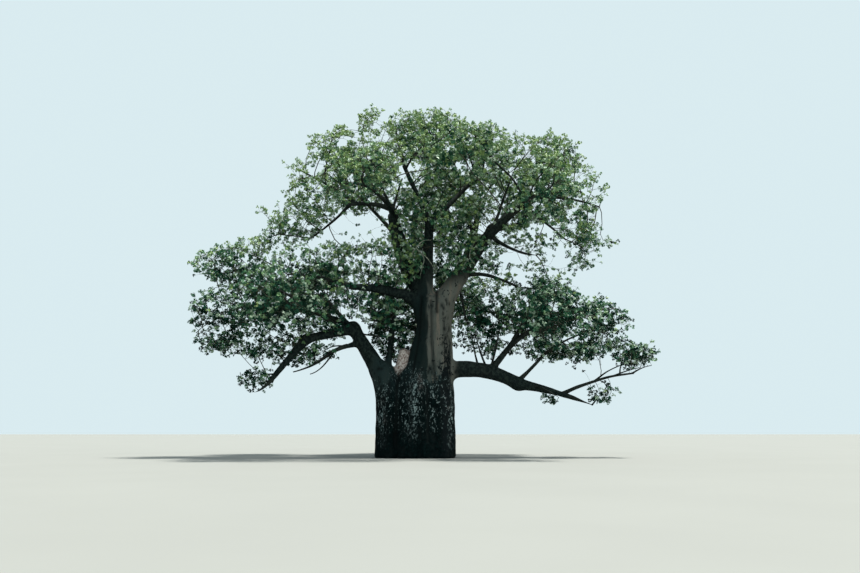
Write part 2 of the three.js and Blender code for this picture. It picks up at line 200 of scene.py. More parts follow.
# Rounded columns that fuse into the trunk. Height, centre x and y, half width and depth.
TRUNK_COLUMNS = {
    "main": [
        (0, 560, 0, 1890, 2120), (1400, 600, 0, 1830, 2020), (3600, 560, 0, 1800, 1900),
        (4900, 560, 0, 1700, 1780), (5700, 860, 0, 1400, 1560), (6500, 930, 0, 1300, 1420),
        (8250, 1130, 0, 1090, 1200), (9200, 1080, 0, 1220, 1200), (9700, 1020, 0, 1080, 960),
        (10150, 960, 0, 460, 420),
    ],
    "left": [
        (0, -1390, -180, 1110, 1560), (1500, -1380, -180, 1080, 1450),
        (3400, -1400, -160, 1060, 1300), (4500, -1700, -160, 930, 1080),
        (5250, -1960, -200, 760, 860), (5800, -2090, -240, 400, 460),
    ],
    "front_right": [
        (0, 1400, -1080, 960, 1060), (2600, 1380, -1000, 900, 960),
        (4700, 1280, -860, 760, 800), (6600, 1300, -520, 480, 560),
    ],
    "front_left": [
        (0, -330, -1180, 900, 1020), (2200, -300, -1080, 860, 920),
        (4300, -120, -860, 700, 760), (6000, 300, -480, 420, 560),
    ],
    "back_right": [
        (0, 1300, 1120, 980, 1080), (2600, 1260, 1020, 900, 940),
        (5000, 1240, 780, 720, 740), (7000, 1280, 420, 480, 560),
    ],
    "back_left": [
        (0, -420, 1180, 1000, 1000), (2200, -380, 1080, 920, 900),
        (4400, -160, 820, 740, 760), (6200, 420, 460, 460, 560),
    ],
}

# Openings in the crown that one sees through, as ellipses of the front view: centre and
# half sizes in pixels.
OPENINGS = [
    (352, 230, 31, 17, 0.80), (373, 221, 11, 9, 0.9),
    (533, 262, 46, 8, 0.50), (540, 229, 15, 6, 0.7), (448, 147, 5, 7, 0.8),
    (464, 166, 11, 7, 0.8), (506, 290, 6, 5, 0.9),
    (516, 361, 13, 8, 1.0), (550, 378, 22, 7, 1.0), (330, 371, 19, 12, 1.0),
    (355, 403, 17, 10, 1.0), (268, 363, 6, 5, 0.9), (470, 358, 15, 6, 0.9),
    (434, 282, 3, 6, 1.0), (519, 258, 11, 7, 0.9), (560, 260, 14, 6, 0.9),
    (468, 193, 6, 5, 0.8), (300, 190, 6, 4, 0.7),
    (570, 215, 5, 6, 0.7), (486, 300, 5, 4, 0.7), (575, 325, 6, 4, 0.6),
    (250, 300, 6, 4, 0.6), (330, 300, 5, 4, 0.6), (385, 150, 4, 4, 0.6),
    (198, 243, 18, 9, 1.0), (200, 284, 8, 8, 0.8), (452, 104, 14, 6, 1.0),
    (480, 116, 16, 6, 0.9), (289, 156, 8, 9, 1.0), (316, 128, 11, 7, 1.0),
    (354, 108, 12, 6, 1.0), (258, 222, 9, 8, 0.8), (591, 152, 8, 9, 0.8),
    (606, 215, 6, 20, 0.9), (622, 298, 14, 6, 0.9), (660, 340, 8, 12, 0.9),
]

# Where no small gaps are left, as ellipses of the front view.
FILLED = [(418, 265, 10, 13), (441, 280, 6, 9), (489, 247, 11, 12)]

# Loose foliage between and beside the masses: centre in the front view in pixels, its y,
# half width and height in pixels, half depth, and how dense it is.
LOOSE = [
    (394, 248, -0.8, 17, 20, 0.8, 3.0), (403, 268, -0.9, 13, 15, 0.8, 3.0),
    (412, 208, -1.0, 16, 28, 1.4, 1.2), (414, 244, -1.0, 9, 18, 0.8, 2.0),
    (438, 212, -1.2, 14, 20, 1.2, 1.2), (446, 240, -1.3, 12, 24, 1.0, 1.8),
    (460, 256, -1.3, 14, 11, 0.9, 6.0), (474, 243, -1.2, 14, 11, 0.9, 6.0),
    (449, 270, -1.3, 7, 7, 0.8, 5.0), (457, 267, -1.2, 11, 7, 0.8, 5.0), (467, 264, -1.2, 9, 9, 0.8, 5.0), (420, 242, 1.3, 12, 26, 1.0, 6.0), (440, 268, 1.3, 10, 12, 0.9, 4.0),
    (417, 265, 0.9, 8, 10, 0.8, 6.0), (418, 264, -1.1, 8, 10, 0.7, 6.0), (440, 281, 0.8, 6, 8, 0.7, 6.0),
    (490, 246, 0.2, 11, 9, 1.0, 3.0), (486, 261, 0.0, 9, 8, 1.0, 3.0),
    (419, 250, -0.9, 8, 16, 0.7, 5.0), (465, 316, 1.0, 13, 20, 1.2, 2.4), (486, 318, 0.6, 15, 14, 1.2, 1.6),
    (352, 249, -1.2, 14, 7, 0.7, 4.0), (404, 225, -1.3, 9, 12, 0.7, 3.0), (308, 228, 0.0, 18, 13, 1.4, 1.5),
    (215, 345, -0.5, 20, 8, 1.5, 1.3), (478, 206, -1.0, 20, 18, 1.7, 1.1),
    (446, 262, 1.6, 12, 14, 1.0, 1.6), (408, 276, 1.2, 14, 12, 1.0, 1.5),
    (322, 214, -0.5, 22, 9, 1.4, 0.9), (352, 250, -0.4, 34, 9, 1.6, 1.0),
    (350, 232, 0.0, 26, 14, 1.4, 0.5), (386, 279, -1.0, 26, 10, 1.4, 1.8),
    (525, 246, 0.0, 34, 8, 1.3, 0.7), (540, 262, 0.0, 48, 10, 1.4, 0.6),
    (503, 231, 0.3, 20, 9, 1.3, 0.9), (590, 247, 0.0, 11, 26, 1.4, 1.0),
    (505, 284, 0.0, 14, 8, 1.4, 1.0), (474, 334, 1.2, 21, 15, 1.4, 1.5),
    (500, 350, 0.8, 22, 9, 1.2, 1.2), (548, 352, 0.4, 26, 10, 1.5, 1.8),
    (582, 352, 0.0, 24, 10, 1.4, 1.8), (322, 330, -0.6, 34, 9, 1.4, 1.4),
    (392, 318, 1.4, 22, 24, 1.3, 2.3), (384, 312, -1.1, 22, 16, 0.9, 2.4),
    (396, 332, -1.0, 10, 12, 0.7, 2.0), (322, 142, 0.0, 15, 9, 1.6, 1.0),
    (372, 121, 0.0, 15, 9, 1.6, 2.0), (345, 133, 0.0, 11, 7, 1.6, 1.6), (294, 163, 0.0, 11, 10, 1.4, 1.0),
    (262, 214, 0.0, 8, 6, 0.9, 1.0),
    (256, 380, -1.2, 17, 11, 1.4, 1.8), (306, 353, 0.4, 28, 9, 1.4, 1.2),
    (192, 262, 0.0, 9, 5, 0.9, 1.0), (620, 300, 0.2, 9, 6, 1.0, 1.0),
    (634, 358, -0.4, 20, 12, 1.5, 1.4), (604, 345, 0.0, 18, 10, 1.4, 1.4),
    (640, 348, 0.0, 8, 8, 1.0, 1.2), (603, 394, -0.9, 16, 9, 1.2, 1.3),
    (384, 342, 1.3, 13, 16, 1.2, 2.8), (410, 336, 1.3, 9, 14, 1.1, 2.2),
    (402, 346, 1.3, 10, 10, 1.0, 2.2), (411, 358, 1.3, 6, 10, 0.9, 2.2),
    (396, 353, 1.0, 7, 12, 0.9, 5.0), (408, 341, 0.9, 8, 9, 0.9, 4.0),
    (262, 352, -0.5, 24, 9, 1.5, 1.2), (290, 343, -0.8, 26, 7, 1.2, 1.4),
    (228, 348, -0.5, 26, 7, 1.5, 1.2), (263, 245, 0.0, 13, 9, 1.3, 1.4),
    (550, 400, -0.9, 9, 5, 0.8, 2.0), (358, 270, -0.5, 9, 10, 1.0, 1.6), (470, 350, 1.0, 18, 8, 1.2, 0.8),
    (609, 242, 0.0, 7, 6, 0.8, 1.3), (378, 226, -0.3, 12, 9, 1.0, 1.5),
    (352, 168, 3.2, 28, 24, 0.7, 0.6), (400, 144, 3.3, 30, 24, 0.7, 0.6), (450, 140, 3.3, 30, 26, 0.7, 0.6),
    (500, 148, 3.3, 30, 24, 0.7, 0.6), (548, 172, 3.2, 28, 26, 0.7, 0.6),
    (492, 262, -0.3, 15, 12, 1.2, 0.9), (575, 262, 0.0, 16, 12, 1.2, 0.8),
]


def heading_vector(degrees):
    a = math.radians(degrees)
    return np.array([math.cos(a), math.sin(a), 0.0])


class Limb:
    def __init__(self, name, on, at, start, heading, reach, rise, arch, sway, r0, r1):
        self.name, self.on, self.at = name, on, at
        self.start = np.array(start, float)
        ahead = heading_vector(heading)
        self.along = ahead * reach + np.array([0, 0, rise])
        self.bow = heading_vector(heading + 90) * sway + np.array([0, 0, arch])
        self.r0, self.r1 = r0, r1

    def point(self, t):
        t = np.asarray(t, float)[..., None]
        return self.start + self.along * t + self.bow * 4 * t * (1 - t)

    def radius(self, t):
        return self.r0 + (self.r1 - self.r0) * np.asarray(t, float) ** 0.85

    def length(self):
        p = self.point(np.linspace(0, 1, 21))
        return float(np.linalg.norm(np.diff(p, axis=0), axis=1).sum())


limbs = {}
for name, (start, heading, reach, rise) in TRUNK_AXES.items():
    s = [v / 1000 for v in start]
    limbs[name] = Limb(name, None, 0, s, heading, reach / 1000, rise / 1000, 0, 0, 1, 1)
for row in LIMBS + BRANCHES:
    name, on, at, heading = row[:4]
    sizes = [v / 1000 for v in row[4:]]
    limbs[name] = Limb(name, on, at, limbs[on].point(at), heading, *sizes)

# ------------------------------------------------------------------- seeded noise


def lattice(i, j, k, seed):
    h = (i * 374761393 + j * 668265263 + k * 2246822519 + seed * 3266489917) & 0xFFFFFFFF
    h = ((h ^ (h >> 13)) * 1274126177) & 0xFFFFFFFF
    return (h ^ (h >> 16)).astype(np.float64) / 4294967295.0


def noise(points, scale=(1, 1, 1), seed=0):
    """Smooth noise from -1 to 1, with cells of size 1 / scale."""
    p = np.asarray(points, float) * np.asarray(scale, float) + 57.3
    cell = np.floor(p).astype(np.int64)
    f = p - cell
    f = f * f * (3 - 2 * f)
    total = np.zeros(len(p))
    for dx in (0, 1):
        for dy in (0, 1):
            for dz in (0, 1):
                w = (f[:, 0] if dx else 1 - f[:, 0])
                w = w * (f[:, 1] if dy else 1 - f[:, 1])
                w = w * (f[:, 2] if dz else 1 - f[:, 2])
                total += w * lattice(cell[:, 0] + dx, cell[:, 1] + dy, cell[:, 2] + dz, seed)
    return total * 2 - 1


def fractal(points, scale, seed, octaves=3):
    total, size, scale = 0.0, 1.0, np.asarray(scale, float)
    for k in range(octaves):
        total = total + size * noise(points, scale * 2.03**k, seed + 31 * k)
        size *= 0.5
    return total / 1.75


def smoothstep(a, b, x):
    t = np.clip((x - a) / (b - a), 0, 1)
    return t * t * (3 - 2 * t)


# ----------------------------------------------------------------------- meshes


def make_piece(name, verts, faces, material, node_names=(), smooth=True):
    """A mesh object from arrays. faces is a list of (k, 3) or (k, 4) index arrays."""
    mesh = bpy.data.meshes.new(name)
    verts = np.ascontiguousarray(verts, np.float32)
    mesh.vertices.add(len(verts))
    mesh.vertices.foreach_set("co", verts.ravel())
    sizes = np.concatenate([np.full(len(f), f.shape[1], np.int32) for f in faces])
    corners = np.concatenate([np.asarray(f, np.int32).ravel() for f in faces])
    mesh.loops.add(len(corners))
    mesh.loops.foreach_set("vertex_index", corners)
    mesh.polygons.add(len(sizes))
    starts = np.concatenate([[0], np.cumsum(sizes)[:-1]]).astype(np.int32)
    mesh.polygons.foreach_set("loop_start", starts)
    mesh.polygons.foreach_set("loop_total", sizes)
    mesh.polygons.foreach_set("use_smooth", np.full(len(sizes), smooth))
    mesh.update(calc_edges=True)
    mesh.materials.append(material)
    piece = bpy.data.objects.new(name, mesh)
    bpy.context.scene.collection.objects.link(piece)
    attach(piece, "root")
    if node_names:
        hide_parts(*node_names)
    return piece


def mass_tests():
    """For each foliage mass: its name, a tree for inside tests, its corners."""
    slots = {s["node"]: s["material_slot"] for s in frame["record"]["subparts"]}
    found = []
    for name in sorted(frame["nodes"]):
        if not slots[name].startswith("foliage"):
            continue
        mesh = frame["nodes"][name].data
        mesh.calc_loop_triangles()
        verts = [v.co.copy() for v in mesh.vertices]
        tris = [tuple(t.vertices) for t in mesh.loop_triangles]
        co = np.array([tuple(v) for v in verts])
        found.append((name, BVHTree.FromPolygons(verts, tris), co.min(0), co.max(0)))
    return found


def depth_inside(tree, points):
    """How deep each point lies inside a mass, negative outside."""
    out = np.empty(len(points))
    for i, p in enumerate(points):
        v = Vector(p)
        place, normal, _, distance = tree.find_nearest(v)
        out[i] = distance if (place - v).dot(normal) > 0 else -distance
    return out


MASSES = mass_tests()


def in_opening(points, rng, grow=1.0, lace=-9.0):
    """Which points are left out so that one sees through: the openings, and small gaps
    where a noise across the front view is low."""
    px = to_pixels(points)
    across = np.stack([px[:, 0], px[:, 1], np.zeros(len(px))], 1)
    fine = noise(across, (0.17, 0.17, 1), 71) + 0.3 * noise(across, (0.07, 0.07, 1), 72)
    heart = ((px[:, 0] - 440) / 70) ** 2 + ((px[:, 1] - 175) / 75) ** 2
    lower = smoothstep(248, 285, px[:, 1])
    out = fine < lace - 0.25 * smoothstep(1.2, 0.4, heart) - 0.12 * lower
    for x, y, rx, ry in FILLED:
        out &= ((px[:, 0] - x) / rx) ** 2 + ((px[:, 1] - y) / ry) ** 2 > 1
    draw = rng.random(len(px))
    for x, y, rx, ry, share in OPENINGS:
        near = ((px[:, 0] - x) / (rx * grow)) ** 2 + ((px[:, 1] - y) / (ry * grow)) ** 2 < 1
        out |= near & (draw < share)
    return out


def from_pixels(x, y, depth):
    """The point of the tree seen at a pixel of the front view, at the given y."""
    tilt = math.radians(TILT)
    right, up = (x - WIDTH / 2) / FOCAL_PX, (HEIGHT / 2 - y) / FOCAL_PX
    way = np.array([right, math.cos(tilt) - up * math.sin(tilt), math.sin(tilt) + up * math.cos(tilt)])
    return EYE + way * (depth - EYE[1]) / way[1]


# Pale leafless twigs that hang in front of the fork: pixels of the front view and y.
PALE_TWIGS = [
    [(431, 240, -0.7), (423, 241, -1.5), (416, 248, -2.1), (411, 255, -2.3), (409, 261, -2.3)],
    [(416, 248, -2.1), (421, 253, -2.3), (427, 258, -2.3), (432, 265, -2.1), (436, 273, -1.7)],
    [(421, 253, -2.3), (424, 259, -2.3), (422, 268, -2.2), (420, 277, -1.8)],
    [(478, 238, -0.8), (473, 245, -1.8), (470, 258, -2.2), (476, 266, -2.2), (481, 272, -2.0)],
    [(470, 258, -2.2), (466, 262, -2.2), (463, 269, -2.0)],
]

LOOSE_FOLIAGE = []
for x, y, depth_y, half_x, half_y, half_depth, density in LOOSE:
    centre = from_pixels(x, y, depth_y)
    metre = np.linalg.norm(centre - EYE) / FOCAL_PX
    LOOSE_FOLIAGE.append((centre, np.array([half_x * metre, half_depth, half_y * metre]), density))


# ------------------------------------------------------------ growth of the branches

nodes = {"pos": [], "parent": [], "radius": [], "kind": [], "grows": []}


def add_node(pos, parent, radius, kind, grows):
    nodes["pos"].append(np.array(pos, float))
    nodes["parent"].append(parent)
    nodes["radius"].append(radius)
    nodes["kind"].append(kind)
    nodes["grows"].append(grows)
    return len(nodes["pos"]) - 1


LIMB_STEP = 0.3
LACE = -0.36                   # higher for more small gaps
limb_nodes = {}
trunk_names = list(TRUNK_AXES)
ground = add_node((0.6, 0, 0), -1, 1.8, -2, False)
for name in trunk_names:
    limb_nodes[name] = [(t, ground) for t in (0.0, 1.0)]
limb_ids = {name: i for i, name in enumerate(limbs)}
for row in LIMBS + BRANCHES:
    limb = limbs[row[0]]
    steps = max(3, int(round(limb.length() / LIMB_STEP)))
    on = limb_nodes[limb.on]
    parent = min(on, key=lambda item: abs(item[0] - limb.at))[1]
    made = []
    for i in range(steps + 1):
        t = i / steps
        place = limb.point(t)
        parent = add_node(place, parent, float(limb.radius(t)), limb_ids[limb.name], False)
        made.append((t, parent))
    limb_nodes[limb.name] = made

# Limbs feed new growth where they are in a mass or close to one, and towards their tips.
limb_pos = np.array(nodes["pos"])
nearest_mass = np.full(len(limb_pos), -9.0)
for name, tree, low, high in MASSES:
    close = np.all((limb_pos > low - 1.2) & (limb_pos < high + 1.2), 1)
    if close.any():
        nearest_mass[close] = np.maximum(nearest_mass[close], depth_inside(tree, limb_pos[close]))
near_loose = np.zeros(len(limb_pos), bool)
for centre, half, density in LOOSE_FOLIAGE:
    near_loose |= (((limb_pos - centre) / (half + 0.7)) ** 2).sum(1) < 1
for i in range(1, len(limb_pos)):
    thick = nodes["radius"][i]
    nodes["grows"][i] = bool((nearest_mass[i] > -0.5 and thick < 0.5) or (near_loose[i] and thick < 0.85))


def foliage_points(per_cubic_metre, seed, clumps, edge=0.45, hollow=0.0):
    """Random points in the masses, thinning out round their edges, and in the loose foliage,
    in clumps where a noise is high, and few in the openings."""
    rng = np.random.default_rng(seed)
    found = []
    for name, tree, low, high in MASSES:
        low, high = low - edge, high + edge
        count = int(np.prod(high - low) * per_cubic_metre)
        p = low + rng.random((count, 3)) * (high - low)
        depth = depth_inside(tree, p)
        uneven = 0.4 * fractal(p, (0.95, 0.95, 1.1), 9, 2)
        chance = smoothstep(-0.05, 0.5, depth + uneven) * (1 - hollow * smoothstep(0.8, 1.9, depth))
        found.append(p[rng.random(count) < chance])
    p = np.concatenate(found)
    if clumps:
        n = fractal(p, (1.15, 1.15, 1.35), 5, 2)
        p = p[rng.random(len(p)) < smoothstep(-clumps, clumps * 0.5, n)]
    loose = []
    for centre, half, density in LOOSE_FOLIAGE:
        count = int(8 * np.prod(half) * per_cubic_metre * density)
        q = rng.uniform(-1, 1, (count, 3))
        loose.append(centre + half * q[(q**2).sum(1) < 1])
    p = np.concatenate([p] + loose)
    inside = np.all((p > CAD_LOW - 0.25) & (p < CAD_HIGH + np.array([0.2, 0.25, -0.05])), 1)
    p = p[inside & (p[:, 2] > 3.0)]
    return p[~in_opening(p, rng)]


def colonise(targets, step, influence, kill, rounds, inertia, lift, seed, kind):
    """Grows nodes towards the targets: each target pulls the node nearest to it."""
    rng = np.random.default_rng(seed)
    pos = np.array(nodes["pos"])
    parent = np.array(nodes["parent"])
    grows = np.array(nodes["grows"])
    ahead = np.zeros_like(pos)
    has = parent >= 0
    ahead[has] = pos[has] - pos[parent[has]]
    ahead /= np.maximum(np.linalg.norm(ahead, axis=1), 1e-9)[:, None]
    alive = np.ones(len(targets), bool)
    near = np.zeros(len(targets), int)
    far = np.full(len(targets), 1e9)
    last = {}

    def update(ids):
        for block in np.array_split(ids, max(1, len(ids) // 1500)):
            a = np.nonzero(alive)[0]
            if not len(block) or not len(a):
                return
            t = targets[a].astype(np.float32)
            q = pos[block].astype(np.float32)
            d2 = (t * t).sum(1)[:, None] + (q * q).sum(1)[None] - 2 * t @ q.T
            best = d2.argmin(1)
            d = np.sqrt(np.maximum(d2[np.arange(len(a)), best], 0))
            better = d < far[a] - 1e-5
            near[a[better]] = block[best[better]]
            far[a[better]] = d[better]

    update(np.nonzero(grows)[0])
    alive &= far > kill
    for _ in range(rounds):
        active = np.nonzero(alive & (far < influence))[0]
        if not len(active):
            break
        pull = targets[active] - pos[near[active]]
        pull /= np.maximum(np.linalg.norm(pull, axis=1), 1e-9)[:, None]
        sums = np.zeros_like(pos)
        np.add.at(sums, near[active], pull)
        sources = np.unique(near[active])
        d = sums[sources]
        d /= np.maximum(np.linalg.norm(d, axis=1), 1e-9)[:, None]
        d = d + inertia * ahead[sources] + rng.normal(0, 0.12, d.shape)
        d[:, 2] += lift
        d /= np.linalg.norm(d, axis=1)[:, None]
        stuck = []
        for s, v in zip(sources, d):
            before = last.get(s)
            if before is not None and float(before @ v) > 0.94:
                stuck.append(s)
            last[s] = v
        if stuck:
            blocked = np.isin(near, stuck) & alive & (far < influence)
            alive[blocked & (rng.random(len(alive)) < 0.5)] = False
        ok = ~np.isin(sources, stuck)
        sources, d = sources[ok], d[ok]
        if not len(sources):
            continue
        new = pos[sources] + d * step * rng.uniform(0.85, 1.15, (len(d), 1))
        ids = np.arange(len(pos), len(pos) + len(new))
        pos = np.concatenate([pos, new])
        ahead = np.concatenate([ahead, d])
        parent = np.concatenate([parent, sources])
        update(ids)
        alive &= far > kill
    grown = len(pos) - len(nodes["pos"])
    start = len(nodes["pos"])
    for i in range(start, len(pos)):
        nodes["pos"].append(pos[i])
        nodes["parent"].append(int(parent[i]))
        nodes["radius"].append(0.0)
        nodes["kind"].append(kind)
        nodes["grows"].append(True)
    return grown


COARSE = foliage_points(0.9, 11, 0.0, 0.2)
colonise(COARSE, 0.40, 4.2, 0.7, 70, 0.7, 0.04, 21, -3)
FINE = foliage_points(22.5, 12, 0.5, 0.45, 0.4)
grown_twigs = colonise(FINE, 0.24, 1.6, 0.205, 16, 0.3, 0.08, 22, -4)

# Short leafy shoots along the young twigs.
spur_rng = np.random.default_rng(23)
twigs_so_far = range(len(nodes["pos"]) - grown_twigs, len(nodes["pos"]))
has_child = set(nodes["parent"])
for i in list(twigs_so_far):
    if spur_rng.random() > 0.8 or i not in has_child:
        continue
    ahead = nodes["pos"][i] - nodes["pos"][nodes["parent"][i]]
    ahead /= max(np.linalg.norm(ahead), 1e-9)
    side = np.cross(ahead, spur_rng.normal(0, 1, 3))
    side /= max(np.linalg.norm(side), 1e-9)
    way = 0.35 * ahead + side + np.array([0, 0, 0.35])
    way /= np.linalg.norm(way)
    add_node(nodes["pos"][i] + way * spur_rng.uniform(0.16, 0.36), i, 0.0, -5, False)

pos = np.array(nodes["pos"])
parent = np.array(nodes["parent"])
kind = np.array(nodes["kind"])
radius = np.array(nodes["radius"])
count = len(pos)
children = [[] for _ in range(count)]
for i in range(1, count):
    children[parent[i]].append(i)

# New growth wanders a little.
wander = np.stack([noise(pos, (0.85, 0.85, 0.85), 90 + k) for k in range(3)], 1)
wander += 0.5 * np.stack([noise(pos, (2.1, 2.1, 2.1), 94 + k) for k in range(3)], 1)
pos = np.where((kind < -2)[:, None], pos + 0.16 * wander, pos)

# Where sprays of leaves grow, and where they are left out.
tips = np.array([i for i in range(1, count) if not children[i] and kind[i] <= -3])
tip_pos = pos[tips]
thin_rng = np.random.default_rng(99)
keep = ~in_opening(tip_pos, thin_rng, 0.9, LACE)
keep &= np.all((tip_pos > CAD_LOW - 0.22) & (tip_pos < CAD_HIGH + 0.22), 1)

# Leaves in front of the boughs that show are thinned.
BARE = [
    ("right_bough_lower", 0.0, 0.22, 5), ("right_bough_upper", 0.0, 0.6, 3),
    ("fork_left", 0.0, 0.25, 5), ("fork_left", 0.5, 0.9, 3),
    ("fork_back_left", 0.7, 1.0, 5), ("crown_bough_left", 0.35, 0.85, 3),
    ("upper_left_bough", 0.0, 1.0, 3), ("upper_left_tip", 0.0, 1.0, 2),
    ("trunk_left_bough", 0.0, 0.7, 4), ("left_stem", 0.0, 1.0, 6),
    ("left_bough_inner", 0.0, 1.0, 5), ("left_bough_outer", 0.0, 0.9, 5),
    ("lower_right_bough", 0.0, 1.0, 8), ("lower_right_end", 0.0, 1.0, 5),
    ("lower_right_reach", 0.0, 0.7, 3), ("lower_right_riser", 0.0, 0.8, 4),
    ("lower_right_rise", 0.0, 0.8, 3), ("right_mid_branch", 0.0, 1.0, 3),
]
tip_px = to_pixels(tip_pos)
chance = thin_rng.random(len(tips))
for name, t0, t1, wide in BARE:
    limb = limbs[name]
    line = limb.point(np.linspace(t0, t1, 24))
    line_px = to_pixels(line)
    d = np.linalg.norm(tip_px[:, None] - line_px[None], axis=2)
    at = d.argmin(1)
    in_front = tip_pos[:, 1] < line[at, 1] + 0.2
    keep &= ~(in_front & (d.min(1) < wide) & (chance < 0.45))
trunk_zone = (tip_px[:, 0] > 408) & (tip_px[:, 0] < 468) & (tip_px[:, 1] > 284)
keep &= ~(trunk_zone & (tip_pos[:, 1] < 1.0))

tips = tips[keep]

# Twigs that carry no spray are left out.
alive = kind >= -2
for i in tips:
    while not alive[i]:
        alive[i] = True
        i = parent[i]
children = [[c for c in found if alive[c]] for found in children]

# Thickness of the new growth, from the tips down.
TIP, POWER = 0.0065, 2.4
flow = np.zeros(count)
for i in range(count - 1, 0, -1):
    if not alive[i]:
        continue
    if not children[i]:
        flow[i] = TIP**POWER
    if kind[i] < -2:
        radius[i] = flow[i] ** (1 / POWER)
    flow[parent[i]] += flow[i]
for i in range(1, count):
    if kind[i] < -2:
        radius[i] = min(radius[i], radius[parent[i]] * (0.75 if kind[parent[i]] >= 0 else 1.0))
        if kind[parent[i]] >= 0 and not any(kind[c] >= 0 for c in children[parent[i]]):
            radius[i] = min(radius[parent[i]] * 0.92, max(radius[i], radius[parent[i]] * 0.6))

# New growth is smoothed along its run.
main = np.full(count, -1)
for i in range(count):
    if children[i]:
        main[i] = max(children[i], key=lambda c: radius[c] + (1 if kind[c] == kind[i] and kind[c] >= 0 else 0))
movable = np.nonzero((kind < -2) & (main >= 0))[0]
for _ in range(3):
    middle = (pos[parent[movable]] + pos[main[movable]]) / 2
    pos[movable] += 0.5 * (middle - pos[movable])

# ---------------------------------------------------------------------- bark skin

VOXEL = 0.070
SKIN_LIMIT = 0.14              # limbs thinner than this are tubes


def between(stations, z):
    """Smooth centre and half sizes of a trunk column at heights z."""
    s = np.array(stations, float) / 1000
    h = s[:, 0]
    out = []
    for k in range(1, 5):
        m = np.gradient(s[:, k], h)
        i = np.clip(np.searchsorted(h, z) - 1, 0, len(h) - 2)
        w = h[i + 1] - h[i]
        t = np.clip((z - h[i]) / w, 0, 1)
        a = (2 * t**3 - 3 * t**2 + 1) * s[i, k] + (t**3 - 2 * t**2 + t) * w * m[i] * 0.7
        b = (-2 * t**3 + 3 * t**2) * s[i + 1, k] + (t**3 - t**2) * w * m[i + 1] * 0.7
        out.append(a + b)
    return out


def join(old, new, blend):
    """The smaller of two distances, rounded where they meet."""
    h = np.clip(0.5 + 0.5 * (new - old) / blend, 0, 1)
    return new * (1 - h) + old * h - blend * h * (1 - h)


class Field:
    def __init__(self, low, high, size):
        self.low, self.size = np.array(low, float), size
        self.shape = tuple(int(math.ceil((h - l) / size)) + 1 for l, h in zip(low, high))
        self.value = np.full(self.shape, 3.0, np.float32)

    def window(self, low, high):
        a = np.maximum(((np.array(low) - self.low) / self.size).astype(int), 0)
        b = np.minimum(((np.array(high) - self.low) / self.size).astype(int) + 2, self.shape)
        axes = [self.low[k] + self.size * np.arange(a[k], b[k]) for k in range(3)]
        part = self.value[a[0] : b[0], a[1] : b[1], a[2] : b[2]]
        x = axes[0][:, None, None].astype(np.float32)
        y = axes[1][None, :, None].astype(np.float32)
        z = axes[2][None, None, :].astype(np.float32)
        return part, x, y, z

    def column(self, stations, phase, blend):
        s = np.array(stations, float) / 1000
        pad = 0.6
        low = [(s[:, 1] - s[:, 3]).min() - pad, (s[:, 2] - s[:, 4]).min() - pad, -1]
        high = [(s[:, 1] + s[:, 3]).max() + pad, (s[:, 2] + s[:, 4]).max() + pad, s[-1, 0] + 0.3]
        part, x, y, z = self.window(low, high)
        cx, cy, a, b = (v.astype(np.float32)[None, None, :] for v in between(stations, z.ravel()))
        dx, dy = x - cx, y - cy
        angle = np.arctan2(dy / b, dx / a)
        flute = 1 + 0.035 * np.sin(7 * angle + phase + z / 4.0)
        r = np.sqrt(dx * dx + dy * dy)
        c, s_ = dx / np.maximum(r, 1e-6), dy / np.maximum(r, 1e-6)
        d = r - flute / np.sqrt((c / a) ** 2 + (s_ / b) ** 2)
        d = np.maximum(d, z - np.float32(stations[-1][0] / 1000))
        part[...] = join(part, d, blend)

    def limb(self, limb, upto, blend):
        n = max(5, int(limb.length() / 0.45))
        t = np.linspace(0, upto, n + 1)
        p, r = limb.point(t), limb.radius(t)
        flare = 1 + 0.22 * np.exp(-t * limb.length() / (2.2 * limb.r0 + 0.2))
        if limb.on not in TRUNK_AXES:
            r = r * flare
        pad = r.max() + blend + 2 * self.size
        part, x, y, z = self.window(p.min(0) - pad, p.max(0) + pad)
        best = np.full(part.shape, 3.0, np.float32)
        for i in range(n):
            a, b = p[i], p[i + 1]
            ab = b - a
            h = ((x - a[0]) * ab[0] + (y - a[1]) * ab[1] + (z - a[2]) * ab[2]) / (ab @ ab)
            h = np.clip(h, 0, 1).astype(np.float32)
            d = np.sqrt(
                (x - a[0] - h * ab[0]) ** 2 + (y - a[1] - h * ab[1]) ** 2
                + (z - a[2] - h * ab[2]) ** 2
            ) - (r[i] + h * (r[i + 1] - r[i]))
            np.minimum(best, d, out=best)
        part[...] = join(part, best, blend)


CORNERS = np.array([(i, j, k) for i in (0, 1) for j in (0, 1) for k in (0, 1)])
EDGES = [
    (a, b) for a in range(8) for b in range(a + 1, 8)
    if np.abs(CORNERS[a] - CORNERS[b]).sum() == 1
]


